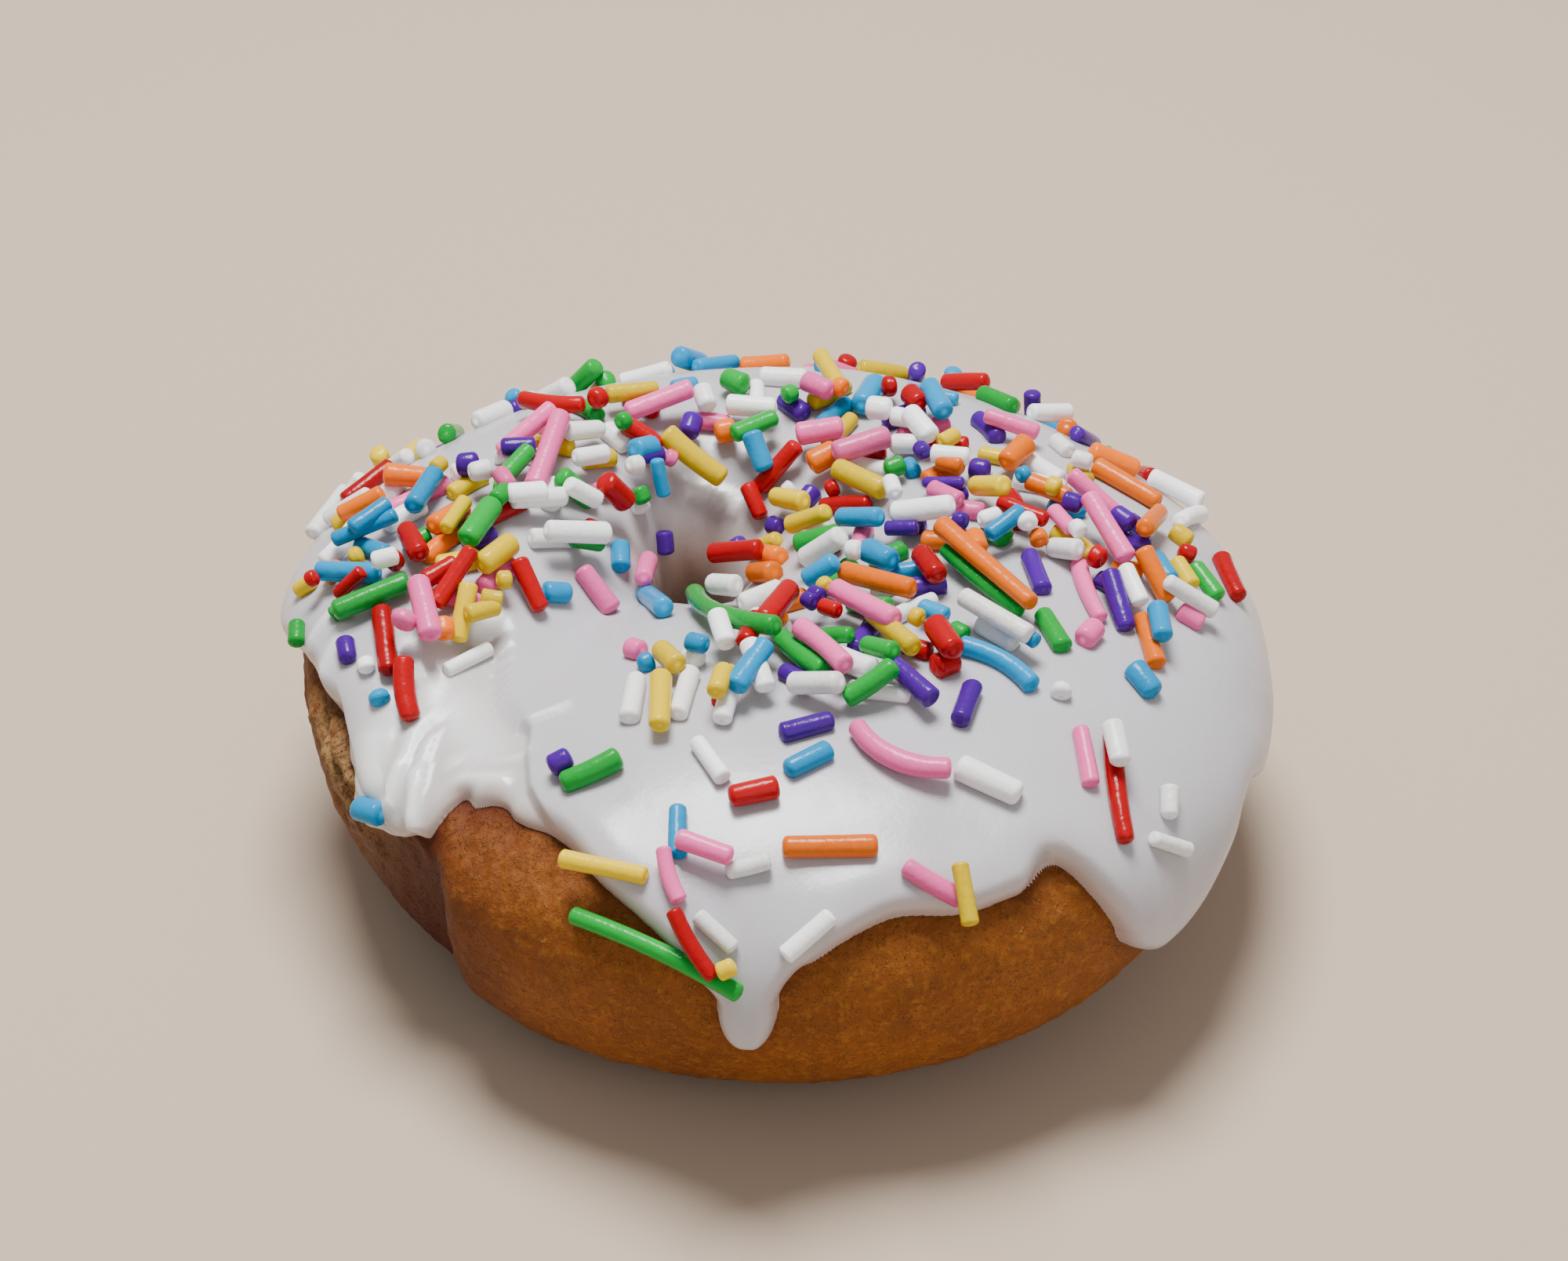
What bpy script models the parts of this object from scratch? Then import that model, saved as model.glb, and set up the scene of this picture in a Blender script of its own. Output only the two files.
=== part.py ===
"""Sprinkle cake doughnut: an uneven fried ring with a small hole, a coat of white icing that runs down its
side in drips, and long sugar sprinkles that lie in the icing. Metres, +Z up. The origin is under the middle of
the whole, on the table, and the front is at -Y.

Two angles give a place on the ring. The turn goes round the ring, from +X towards +Y. The tilt goes round the
section: 0 is the outer wall, 90 the crest, 180 the wall of the hole and 270 the underside."""

import bpy
import bmesh
import numpy as np

MM = 0.001

# The ring. Its swells are rows of turn, spread in degrees and height
RING_MIDDLE = np.array([0.3, 2.1]) * MM
RING_RADIUS = 43.0 * MM
RING_SWELLS = (
    (300, 22, 0.9 * MM), (205, 16, -1.6 * MM), (334, 14, -0.8 * MM), (354, 16, -0.9 * MM),
    (50, 28, -3.9 * MM), (106, 28, -4.4 * MM),
)
HOLE_MIDDLE = np.array([-7.2, 10.4]) * MM
HOLE_RADIUS = 5.8 * MM
HOLE_SWELLS = ((90, 30, 0.9 * MM), (270, 40, 0.6 * MM))
CREST_HEIGHT = 29.5 * MM
CREST_SWELLS = ((224, 15, -3.2 * MM), (170, 22, 0.9 * MM), (330, 40, 0.4 * MM), (90, 48, -1.0 * MM))
WAIST_HEIGHT = 17.5 * MM
WAIST_SWELLS = ((195, 26, 3.5 * MM), (350, 30, 1.5 * MM))
LEAN_SWELLS = ((148, 20, 3.4 * MM),)
FOOT_DEPTH = 1.5 * MM
TOP_ROUNDNESS, FOOT_ROUNDNESS = 0.92, 0.88

# The crease down the outer wall, where the ring was pinched: steep on its front side, slack on its left
CREASE_TURN, CREASE_DEPTH = 224.5, 3.0 * MM
CREASE_STEEP, CREASE_SLACK = 2.4, 9.0
CREASE_TILT, CREASE_REACH = -15, 55

# The torn crust beside the crease
CRAG_TURN, CRAG_TILT, CRAG_RELIEF = 203, 6, 0.9 * MM
CRAG_SPREAD_TURN, CRAG_SPREAD_TILT = 8, 14

# The hem of the icing as turn and tilt, then its drips as turn, half width and drop in degrees
HEM = (
    (0, -6), (20, 3), (38, -2), (56, 10), (74, 2), (92, 12), (110, 3), (128, 13), (146, 5), (164, 11),
    (180, 8), (186, 17), (192, 25), (197, 25), (203, 27), (205.5, 22), (207, 18), (209, 14), (210, 8),
    (210.8, 2), (212, -1), (215, 0.5), (217, 3), (219, 8), (221.5, 18), (222.5, 20.5), (224, 25), (224.6, 31),
    (225.6, 42), (226.3, 47), (227, 48.6), (229.2, 48.6), (230.5, 50.5), (234, 52), (235.5, 50.2),
    (238, 49.4), (240.6, 49.2), (242.5, 48.3), (244.7, 46.5), (249, 39), (255, 29), (257.5, 24), (260, 17),
    (262.3, 10.5), (263.4, 8.5), (264.4, 8), (266.6, 8), (268.9, 8), (269.7, 9), (270.5, 12), (272, 17),
    (274, 20.2), (276, 23.5), (279, 27.5), (283, 31), (292, 28), (298, 28.5), (305.5, 27), (307.5, 13),
    (309.3, 0), (312, -7), (317, -10), (322, -9), (329, -3), (335, 2), (342, -4), (350, -5),
)
DRIPS = ((266.6, 3.2, 15.3), (66, 3.0, 15), (118, 3.2, 14), (12, 2.8, 12))
DRIP_TIP, DRIP_NECK = 2.25, 1.2
HOLE_HEM, HOLE_HEM_WAVE = 194, 5

# The icing, and the smear that fingers wiped thin: its left turn, and the edge of the thick icing on its right
# as tilt and turn
ICING_GAP, WAIST_GAP = 0.45 * MM, 0.45 * MM
ICING_DEPTH, SMEAR_DEPTH = 1.75 * MM, 0.85 * MM
SMEAR_FROM, SMEAR_FADE, SMEAR_STEP = 200, 9, 1.6
SMEAR_EDGE = (
    (47, 243.5), (57.5, 237.8), (71.5, 233.8), (75, 230.5), (78.5, 221.7), (86, 215), (90, 209), (97, 203),
)
BEAD_DEPTH, BEAD_WIDTH = 0.45 * MM, 2.6 * MM
HEM_ROUND = 1.5 * MM

# The sprinkles, of which the heaps are rows of turn and reach, tilt and reach, and how many
SEED = 41
SPRINKLE_RADIUS, SPRINKLE_LENGTH = (0.86 * MM, 1.04 * MM), (3.6 * MM, 8.2 * MM)
HEAPS = (
    (150, 20, 96, 34, 56), (170, 22, 60, 17, 38), (190, 10, 84, 26, 18), (94, 30, 88, 26, 46),
    (40, 26, 90, 36, 60), (5, 22, 84, 30, 46), (322, 30, 113, 25, 70), (266, 18, 107, 14, 26),
    (10, 60, 148, 10, 16), (98, 62, 20, 16, 64),
)
SUNK, PRESSED, BLUNT = 0.42, 0.92, 0.55
HIGHEST_PILE, HIGHEST_HEAP, TILTING_COST = 2.3 * MM, 1.7 * MM, 1.2 * MM
SLOPES = np.linspace(-0.5, 0.5, 11)
LINE_POINTS = 7
SHORTEST = 0.6 * MM
# The ends of sprinkles that lie apart were read at one height over the dough, along one line of sight
READ_LIFT = 2.8 * MM
SIGHT = np.array([0.0, -0.777, 0.629])
LOWEST_FACING = 0.42

# Sprinkles that lie apart, as turn and tilt of one end, turn and tilt of the other, girth, and bend in degrees
APART = (
    (265, 43, 271, 46, .85, 8), (272, 49.3, 284, 47.6, 1.15), (270.6, 22, 276.8, 33, .9),
    (285.5, 42.5, 290.9, 30.5, .95, 12), (290.6, 24.5, 292, 41, .85), (298, 62, 303.5, 49, 1.3),
    (286.2, 78.3, 295.8, 58.3, 1.0, 70), (274.8, 68, 283.2, 73, 1.0), (266.1, 61.5, 273.9, 64.5, 1.1),
    (262.3, 76.7, 266.3, 65.7, .95), (243, 59, 251.5, 70, 1.15, 12), (241, 61.5, 244.5, 67, 1.1),
    (259.7, 59.2, 259.7, 45, .85), (259.2, 50.5, 266.4, 46.5, .95), (257.6, 48, 259.8, 34, .75, 24),
    (245.2, 40, 256.4, 40, .9), (247, 26, 267, 13.5, .9, -10), (258.8, 33, 263.6, 15.5, .75, 18),
    (261.6, 32.4, 266, 23.6, .8), (311.8, 42.7, 317.2, 55.3, .85), (311, 27.2, 320.2, 50, .95, -10),
    (317.5, 42.8, 321.7, 51.8, 1.0), (318.8, 62.5, 321.2, 64.5, 1.0), (318.1, 24.4, 321.3, 30.8, .9),
    (314.5, 24.6, 319.1, 13.4, .85), (290.8, 88.3, 300.2, 80.7, .85), (302.8, 70.2, 310.6, 77, 1.0),
    (301.5, 91, 302, 77, 1.0), (307, 85, 313, 83.5, 1.3), (317, 87, 318.5, 67.5, 1.05, -45),
    (332.5, 55, 330.3, 46, 1.15), (343.5, 57, 335, 49, 1.0), (333.5, 77.5, 327.5, 68.5, 1.0),
    (352, 74, 339, 65.5, .85, 15), (109, 113, 90, 130, 1.0, 10), (60, 133, 55, 118, .95),
    (63, 136, 43, 147, .95), (210, 149, 185, 157, 1.0), (218, 137, 246, 119, 1.2),
    (225, 146, 277, 119.5, 1.0, 25), (250, 95, 251, 79, .85), (255.3, 95, 256, 74, 1.0),
    (260.5, 97, 262.5, 80, .95), (275.5, 82.5, 285.3, 86, .95), (194.5, 58.5, 205.5, 51.5, 1.0),
    (198.5, 62, 197, 66, 1.25), (205, 57.5, 213, 49.5, 1.0, 20), (195.5, 44, 199.5, 41.5, .95),
    (187.5, 41, 187.5, 68, 1.1), (204, 69, 192, 72, 1.2), (177, 32, 181.5, 55, 1.0), (173, 37, 172, 60, .85),
    (161, 44, 158, 58, 1.15),
)

# Faces: lines round the ring, tilts of the lines of the dough, and lines over and under the icing
TURN_LINES = 72
DOUGH_TILTS = np.array([0, 20, 40, 60, 80, 100, 120, 140, 160, 180, 203, 226, 248, 270, 292, 314, 337])
ICING_OVER, ICING_UNDER = 13, 10
RIM_STEPS = (0.0, 0.25 * MM, 1.1 * MM)
SPRINKLES_FUSED = 154
SPRINKLE_SIDES, SPRINKLE_BANDS, SIDES_SWELL = 5, 4, 1.07


def away(turn, centre):
    """Degrees from a centre to a turn, the short way round."""
    return (np.asarray(turn, float) - centre + 180.0) % 360.0 - 180.0


def swells(turn, rows):
    """The sum of smooth humps, each given by its turn, its spread and its height."""
    return sum(height * np.exp(-0.5 * (away(turn, centre) / spread) ** 2) for centre, spread, height in rows)


def smooth_step(value):
    value = np.clip(value, 0.0, 1.0)
    return value * value * (3.0 - 2.0 * value)


def round_curve(turn, stations):
    """A curve that closes on itself and passes smoothly through stations of turn and value."""
    at, value = np.array(stations, float).T
    at = np.concatenate([at[-2:] - 360.0, at, at[:2] + 360.0])
    value = np.concatenate([value[-2:], value, value[:2]])
    slope = np.gradient(value, at)
    turn = np.asarray(turn, float) % 360.0
    i = np.clip(np.searchsorted(at, turn) - 1, 0, len(at) - 2)
    span = at[i + 1] - at[i]
    f = (turn - at[i]) / span
    line = value[i] + (value[i + 1] - value[i]) * smooth_step(f)
    return line + span * (slope[i] * f * (1 - f) ** 2 - slope[i + 1] * f * f * (1 - f))


def ripple(turn, tilt, scale):
    """A seeded unevenness from about -1 to 1 that closes round the ring."""
    waves = np.random.default_rng(SEED).uniform(0.6, 1.4, (6, 3))
    total = 0.0
    for k, (a, b, c) in enumerate(waves):
        angle = round(scale * a * (k + 2)) * turn + scale * b * (k + 1) * tilt
        total = total + np.sin(np.radians(angle) + 9 * c)
    return total / 3.0


def crease(turn, tilt):
    """How deep the pinch is at a place, from 0 to 1."""
    side = away(turn, CREASE_TURN)
    across = np.exp(-0.5 * (side / np.where(side > 0, CREASE_STEEP, CREASE_SLACK)) ** 2)
    return across * np.clip(1 - np.abs(away(tilt, CREASE_TILT)) / CREASE_REACH, 0, 1)


def crags(turn, tilt):
    """The relief of the torn crust."""
    across, up = away(turn, CRAG_TURN) / CRAG_SPREAD_TURN, away(tilt, CRAG_TILT) / CRAG_SPREAD_TILT
    return np.exp(-0.5 * (across**2 + up**2)) * ripple(turn, tilt, 4.0) * CRAG_RELIEF


def dough_point(turn, tilt):
    """The surface of the dough, as points in metres."""
    turn, tilt = np.broadcast_arrays(np.asarray(turn, float), np.asarray(tilt, float))
    way = np.stack([np.cos(np.radians(turn)), np.sin(np.radians(turn))], -1)
    across, up = np.cos(np.radians(tilt)), np.sin(np.radians(tilt))
    outer = RING_RADIUS + swells(turn, RING_SWELLS) - CREASE_DEPTH * crease(turn, tilt) + crags(turn, tilt)
    inner = HOLE_RADIUS + swells(turn, HOLE_SWELLS)
    far = RING_MIDDLE + outer[..., None] * way
    near = HOLE_MIDDLE + inner[..., None] * way
    lean = swells(turn, LEAN_SWELLS) * np.clip(up, 0, 1) ** 2
    flat = (far + near) / 2 + (far - near) / 2 * across[..., None] - lean[..., None] * way
    waist = WAIST_HEIGHT + swells(turn, WAIST_SWELLS)
    crest = CREST_HEIGHT + swells(turn, CREST_SWELLS)
    over = waist + (crest - waist) * np.abs(up) ** TOP_ROUNDNESS
    under = waist - (waist + FOOT_DEPTH) * np.abs(up) ** FOOT_ROUNDNESS
    height = np.maximum(np.where(up > 0, over, under), 0.0)
    return np.concatenate([flat, height[..., None]], -1)


def directions(turn, tilt):
    """Unit vectors at a place of the dough: along the turn, towards the hole, and outwards."""
    along = dough_point(turn + 0.5, tilt) - dough_point(turn - 0.5, tilt)
    along = along / np.linalg.norm(along, axis=-1, keepdims=True)
    inward = dough_point(turn, tilt + 0.5) - dough_point(turn, tilt - 0.5)
    out = np.cross(along, inward)
    out = out / np.linalg.norm(out, axis=-1, keepdims=True)
    return along, np.cross(out, along), out


def hem_tilt(turn):
    """The tilt at which the icing stops on the outer wall, drips included."""
    tilt = round_curve(turn, HEM)
    for centre, half_width, drop in DRIPS:
        side = np.abs(away(turn, centre))
        tip = drop - DRIP_TIP * (half_width - np.sqrt(np.maximum(half_width**2 - side**2, 0.0)))
        neck_side = np.clip(half_width + DRIP_NECK - side, 0.0, DRIP_NECK)
        neck = DRIP_TIP * (DRIP_NECK - np.sqrt(DRIP_NECK**2 - neck_side**2))
        tilt = tilt - np.where(side < half_width, np.maximum(tip, neck), neck)
    return tilt


def hole_hem_tilt(turn):
    """The tilt at which the icing stops in the hole."""
    return HOLE_HEM + HOLE_HEM_WAVE * np.sin(np.radians(3 * np.asarray(turn, float) + 40))


def smear(turn, tilt):
    """1 where fingers wiped the icing thin, and 0 where it lies thick."""
    turn = np.asarray(turn, float) % 360.0
    edge_tilts, edge_turns = np.array(SMEAR_EDGE, float).T
    inside = smooth_step((np.interp(tilt, edge_tilts, edge_turns) - turn) / SMEAR_STEP)
    return inside * smooth_step((turn - SMEAR_FROM) / SMEAR_FADE) * smooth_step((edge_tilts[-1] - tilt) / 12.0)


def reach_of_tilt(turn, tilt):
    """Metres along the surface for one degree of tilt."""
    return np.linalg.norm(dough_point(turn, tilt + 0.5) - dough_point(turn, tilt - 0.5), axis=-1)


def icing_depth(turn, tilt):
    """How thick the icing lies, rounded off at its hems, with a bead along the outer one."""
    turn, tilt = np.broadcast_arrays(np.asarray(turn, float), np.asarray(tilt, float))
    low, high = hem_tilt(turn), hole_hem_tilt(turn)
    reach = reach_of_tilt(turn, low)
    along = np.linalg.norm(dough_point(turn + 0.5, low) - dough_point(turn - 0.5, low), axis=-1)
    slope = (hem_tilt(turn + 0.5) - hem_tilt(turn - 0.5)) * reach / along
    outer = (tilt - low) * reach / np.sqrt(1 + slope**2)
    inner = (high - tilt) * reach
    inside = np.clip(np.minimum(outer, inner) / HEM_ROUND, 0, 1)
    thin = smear(turn, tilt)
    bead = BEAD_DEPTH * np.exp(-((outer / BEAD_WIDTH - 0.8) ** 2)) * (1 - thin)
    depth = ICING_DEPTH + (SMEAR_DEPTH - ICING_DEPTH) * thin + bead + 0.1 * MM * ripple(turn, tilt, 1.0)
    return depth * np.sqrt(1 - (1 - inside) ** 2)


def torus(name, rounds, sections, place, material):
    """A torus whose point (i, j), i round the ring and j round the section, is moved to place(i, j)."""
    bpy.ops.mesh.primitive_torus_add(major_segments=rounds, minor_segments=sections)
    obj = bpy.context.object
    obj.name = obj.data.name = name
    i, j = np.divmod(np.arange(rounds * sections), sections)
    obj.data.vertices.foreach_set("co", place(i, j).astype(np.float32).ravel())
    obj.data.update()
    obj.data.shade_smooth()
    obj.data.materials.append(material)
    return obj


def turn_lines():
    """Turns of the lines round the ring, closer together at the crease and at the front drips."""
    fine = np.arange(0.0, 361.0)
    closeness = 1 + swells(fine, ((222, 16, 1.2), (209, 4, 1.4), (266, 6, 1.8), (308, 4, 2.4)))
    total = np.concatenate([[0.0], np.cumsum(closeness[:-1])])
    return np.interp(np.arange(TURN_LINES) / TURN_LINES * total[-1], total, fine)


def make_dough(material):
    """The fried ring, flat underneath."""
    turns = turn_lines()

    def place(i, j):
        return dough_point(turns[i], DOUGH_TILTS[j])

    return torus("dough", TURN_LINES, len(DOUGH_TILTS), place, material)


def make_icing(material):
    """The icing without its sprinkles: a closed skin whose lines run from hem to hem, over and back under."""
    turns = turn_lines()
    low, high = hem_tilt(turns)[:, None], hole_hem_tilt(turns)[:, None]
    rim = np.array(RIM_STEPS) / reach_of_tilt(turns, low[:, 0])[:, None]
    share = np.linspace(0, 1, ICING_OVER - 2 * len(RIM_STEPS) + 3)[1:-1]
    first, last = low + rim, high - rim[:, ::-1]
    tilt_over = np.concatenate([first, first[:, -1:] + share * (last[:, :1] - first[:, -1:]), last], 1)
    tilt_under = high + np.arange(1, ICING_UNDER) / ICING_UNDER * (low - high)
    tilt = np.concatenate([tilt_over, tilt_under], 1)
    turn = np.broadcast_to(turns[:, None], tilt.shape)
    gap = ICING_GAP + WAIST_GAP * np.cos(np.radians(tilt)) ** 4
    over = np.arange(tilt.shape[1]) <= ICING_OVER
    lift = np.where(over, np.maximum(ICING_GAP + icing_depth(turn, tilt), gap), gap)
    _, _, out = directions(turn, tilt)
    points = dough_point(turn, tilt) + out * lift[..., None]
    return torus("icing", TURN_LINES, tilt.shape[1], lambda i, j: points[i, j], material)


def metres_for_degree(turn, tilt):
    """Metres along the surface for one degree of turn, and for one degree of tilt."""
    ring = np.linalg.norm(dough_point(turn + 0.5, tilt) - dough_point(turn - 0.5, tilt))
    return ring, float(reach_of_tilt(turn, tilt))


def draw_sprinkles():
    """Both ends, bend and radius of each sprinkle and if it lies apart: those first, then the heaps."""
    draw = np.random.default_rng(SEED)
    apart = []
    for turn_1, tilt_1, turn_2, tilt_2, girth, *bend in APART:
        radius = girth * np.mean(SPRINKLE_RADIUS)
        apart.append((turn_1, tilt_1, turn_2, tilt_2, (bend or [0])[0], radius, True))
    heaped = []
    for turn, turn_reach, tilt, tilt_reach, count in HEAPS:
        heap = []
        for _ in range(count):
            t, s = turn + turn_reach * draw.uniform(-1, 1), tilt + tilt_reach * draw.uniform(-1, 1)
            s = max(s, float(hem_tilt(t)) + 8.0)
            length = np.interp(draw.beta(1.6, 1.9), (0, 1), SPRINKLE_LENGTH)
            bend = draw.normal(0, 7) if draw.random() < 0.75 else draw.normal(0, 32)
            heading, (ring, section) = draw.uniform(0, np.pi), metres_for_degree(t, s)
            over, up = length / 2 * np.cos(heading) / ring, length / 2 * np.sin(heading) / section
            radius = draw.uniform(*SPRINKLE_RADIUS)
            heap.append((length, (t - over, s - up, t + over, s + up, bend, radius, False)))
        heap.sort(key=lambda pair: -pair[0])
        heaped += [((k + 0.5) / count, row) for k, (_, row) in enumerate(heap)]
    heaped.sort(key=lambda pair: pair[0])
    return apart + [row for _, row in heaped]


def arc(middle, along, side, length, bend):
    """Points of the middle line of a sprinkle, bent towards one side."""
    at = np.linspace(-0.5, 0.5, LINE_POINTS) * length
    angle = np.radians(bend) if abs(bend) > 1 else np.radians(1)
    radius = length / angle
    sideways = radius * (1 - np.cos(at / radius)) - length * angle / 24
    return middle + np.outer(radius * np.sin(at / radius), along) + np.outer(sideways, side)


def needed_by_icing(line, rest, turn, tilt, vectors, radius):
    """How far each point of a line must rise to lie on the icing, or on the bare dough where there is none."""
    along, inward, out = vectors
    ring, section = metres_for_degree(turn, tilt)
    turns, tilts = turn + (line - rest) @ along / ring, tilt + (line - rest) @ inward / section
    lift = ICING_GAP + np.maximum(icing_depth(turns, tilts) + radius * (1 - SUNK), radius)
    return (dough_point(turns, tilts) - line) @ out + lift


def needed_by_others(line, laid, out, radius, reach):
    """How far each point of a line must rise to clear the sprinkles laid before it."""
    need = np.full(LINE_POINTS, -1.0)
    for other, other_radius in laid:
        if np.linalg.norm(other[LINE_POINTS // 2] - line[LINE_POINTS // 2]) > reach:
            continue
        start, run = other[:-1], other[1:] - other[:-1]
        gap = line[:, None, :] - start
        flat_run, flat_gap = run - np.outer(run @ out, out), gap - (gap @ out)[..., None] * out
        share = np.clip((flat_gap * flat_run).sum(-1) / np.maximum((flat_run**2).sum(-1), 1e-12), 0, 1)
        apart = gap - share[..., None] * run
        height = apart @ out
        level = (apart**2).sum(-1) - height**2
        touch = PRESSED * (radius + other_radius)
        rise = np.where(level < touch**2, np.sqrt(np.maximum(touch**2 - level, 0)) - height, -1.0)
        need = np.maximum(need, rise.max(1))
    return need


def lay_sprinkles(most):
    """The middle lines and radii of sprinkles, each resting on the icing and on those laid before it."""
    laid = []
    for turn_1, tilt_1, turn_2, tilt_2, bend, radius, apart in draw_sprinkles():
        turn, tilt = (turn_1 + turn_2) / 2, (tilt_1 + tilt_2) / 2
        chord = raised(turn_2, tilt_2) - raised(turn_1, tilt_1)
        length = np.linalg.norm(chord)
        for attempt in range(2 if apart else 1):
            vectors = directions(np.array(turn), np.array(tilt))
            along, inward, out = vectors
            axis = chord - out * (chord @ out)
            axis = axis / np.linalg.norm(axis)
            rest = dough_point(turn, tilt)
            line = arc(rest, axis, np.cross(out, axis), max(length - 2 * BLUNT * radius, SHORTEST), bend)
            at = (line - rest) @ axis
            need = np.maximum(needed_by_icing(line, rest, turn, tilt, vectors, radius),
                              needed_by_others(line, laid, out, radius, length + 9 * MM))
            lifts = np.array([np.max(need - slope * at) for slope in SLOPES])
            best = np.argmin(lifts + TILTING_COST * np.abs(SLOPES))
            if apart and attempt == 0:
                shift = (lifts[best] - READ_LIFT) * (SIGHT / max(SIGHT @ out, LOWEST_FACING) - out)
                ring, section = metres_for_degree(turn, tilt)
                turn, tilt = turn + shift @ along / ring, tilt + shift @ inward / section
        on_icing = ICING_DEPTH + ICING_GAP + radius * (1 - SUNK)
        if not apart and lifts[best] - on_icing > HIGHEST_HEAP:
            continue
        lift = min(lifts[best], on_icing + HIGHEST_PILE)
        laid.append((line + (lift + SLOPES[best] * at)[:, None] * out, radius))
        if len(laid) == most:
            break
    return laid


def raised(turn, tilt):
    """The point over the dough at which the end of a sprinkle was read."""
    return dough_point(turn, tilt) + directions(np.array(turn), np.array(tilt))[2] * READ_LIFT


def make_sprinkle(name, line, radius, collection):
    """A closed sprinkle with blunt ends: a low ball whose bands lie at the start, middle and end of its line."""
    bpy.ops.mesh.primitive_uv_sphere_add(segments=SPRINKLE_SIDES, ring_count=SPRINKLE_BANDS, radius=1.0)
    obj = bpy.context.object
    obj.name = obj.data.name = name
    ball = np.array([v.co for v in obj.data.vertices])
    tip = np.where(np.abs(ball[:, 2]) > 0.9, np.sign(ball[:, 2]), 0.0)
    band = np.clip(np.rint(ball[:, 2] / 0.7) + 1, 0, 2).astype(int)
    middle = line[band * (LINE_POINTS // 2)]
    axis = (line[-1] - line[0]) / np.linalg.norm(line[-1] - line[0])
    side = np.cross(axis, (0.3, 0.5, 1.0))
    side = side / np.linalg.norm(side)
    around = np.arctan2(ball[:, 1], ball[:, 0])
    spread = np.where(tip == 0.0, radius * SIDES_SWELL, 0.0)
    points = middle + np.outer(tip * BLUNT * radius, axis)
    points = points + np.outer(spread * np.cos(around), side)
    points = points + np.outer(spread * np.sin(around), np.cross(axis, side))
    obj.data.vertices.foreach_set("co", points.astype(np.float32).ravel())
    obj.data.update()
    move_to(obj, collection)
    return obj


def move_to(obj, collection):
    for owner in list(obj.users_collection):
        owner.objects.unlink(obj)
    collection.objects.link(obj)


def largest_piece_only(obj):
    """Drops loose scraps and fills sealed hollows: only the largest shell of a mesh stays."""
    mesh = bmesh.new()
    mesh.from_mesh(obj.data)
    left, shells = set(mesh.verts), []
    while left:
        shell, front = set(), [left.pop()]
        while front:
            vertex = front.pop()
            shell.add(vertex)
            for edge in vertex.link_edges:
                other = edge.other_vert(vertex)
                if other in left:
                    left.discard(other)
                    front.append(other)
        shells.append(shell)
    shells.sort(key=len)
    bmesh.ops.delete(mesh, geom=[v for shell in shells[:-1] for v in shell], context="VERTS")
    mesh.to_mesh(obj.data)
    mesh.free()


def fuse(obj, collection):
    """Joins the objects of a collection to an object and removes them."""
    union = obj.modifiers.new("fuse", "BOOLEAN")
    union.operation = "UNION"
    union.operand_type = "COLLECTION"
    union.collection = collection
    union.solver = "MANIFOLD"
    bpy.context.view_layer.objects.active = obj
    bpy.ops.object.modifier_apply(modifier=union.name)
    for spent in list(collection.objects):
        bpy.data.objects.remove(spent, do_unlink=True)
    bpy.data.collections.remove(collection)


def food(name, colour, roughness):
    """A Principled material."""
    material = bpy.data.materials.new(name)
    material.use_nodes = True
    shader = material.node_tree.nodes["Principled BSDF"]
    shader.inputs["Base Color"].default_value = (*colour, 1.0)
    shader.inputs["Roughness"].default_value = roughness
    shader.inputs["Metallic"].default_value = 0.0
    material.diffuse_color = (*colour, 1.0)
    return material


def new_collection(name):
    collection = bpy.data.collections.new(name)
    bpy.context.scene.collection.children.link(collection)
    return collection


def main():
    for obj in list(bpy.data.objects):
        bpy.data.objects.remove(obj, do_unlink=True)
    whole, loose = new_collection("sprinkle_doughnut"), new_collection("sprinkles")
    dough = make_dough(food("fried_dough", (0.30, 0.105, 0.024), 0.7))
    icing = make_icing(food("white_icing", (0.80, 0.78, 0.76), 0.3))
    for k, (line, radius) in enumerate(lay_sprinkles(SPRINKLES_FUSED)):
        make_sprinkle(f"sprinkle_{k:03d}", line, radius, loose)
    fuse(icing, loose)
    largest_piece_only(icing)
    for obj in (dough, icing):
        move_to(obj, whole)


main()
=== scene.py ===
"""Looks of the sprinkle cake doughnut: a fried ring, its white icing and the sugar sprinkles that lie in it.

Two angles give a place on the ring. The turn goes round the ring, from +X towards +Y. The tilt goes round the
section: 0 is the outer wall, 90 the crest, 180 the wall of the hole and 270 the underside."""

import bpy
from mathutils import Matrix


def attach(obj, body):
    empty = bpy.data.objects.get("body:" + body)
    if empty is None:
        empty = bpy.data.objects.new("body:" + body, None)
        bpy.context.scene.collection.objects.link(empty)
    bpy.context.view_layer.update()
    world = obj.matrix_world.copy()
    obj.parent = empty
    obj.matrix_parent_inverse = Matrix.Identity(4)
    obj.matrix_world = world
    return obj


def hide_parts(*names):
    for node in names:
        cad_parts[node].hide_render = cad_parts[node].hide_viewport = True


bl_info = {
    "name": "Sprinkle doughnut",
    "version": (1, 0, 0),
    "blender": (4, 5, 0),
    "location": "3D View > Sidebar > Doughnut",
    "description": "Finishes a fried ring with white icing and sugar sprinkles",
    "category": "Add Mesh",
}

import bpy
import numpy as np
from bpy.props import FloatProperty, FloatVectorProperty, IntProperty, PointerProperty
from mathutils import Vector
from mathutils.kdtree import KDTree

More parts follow.
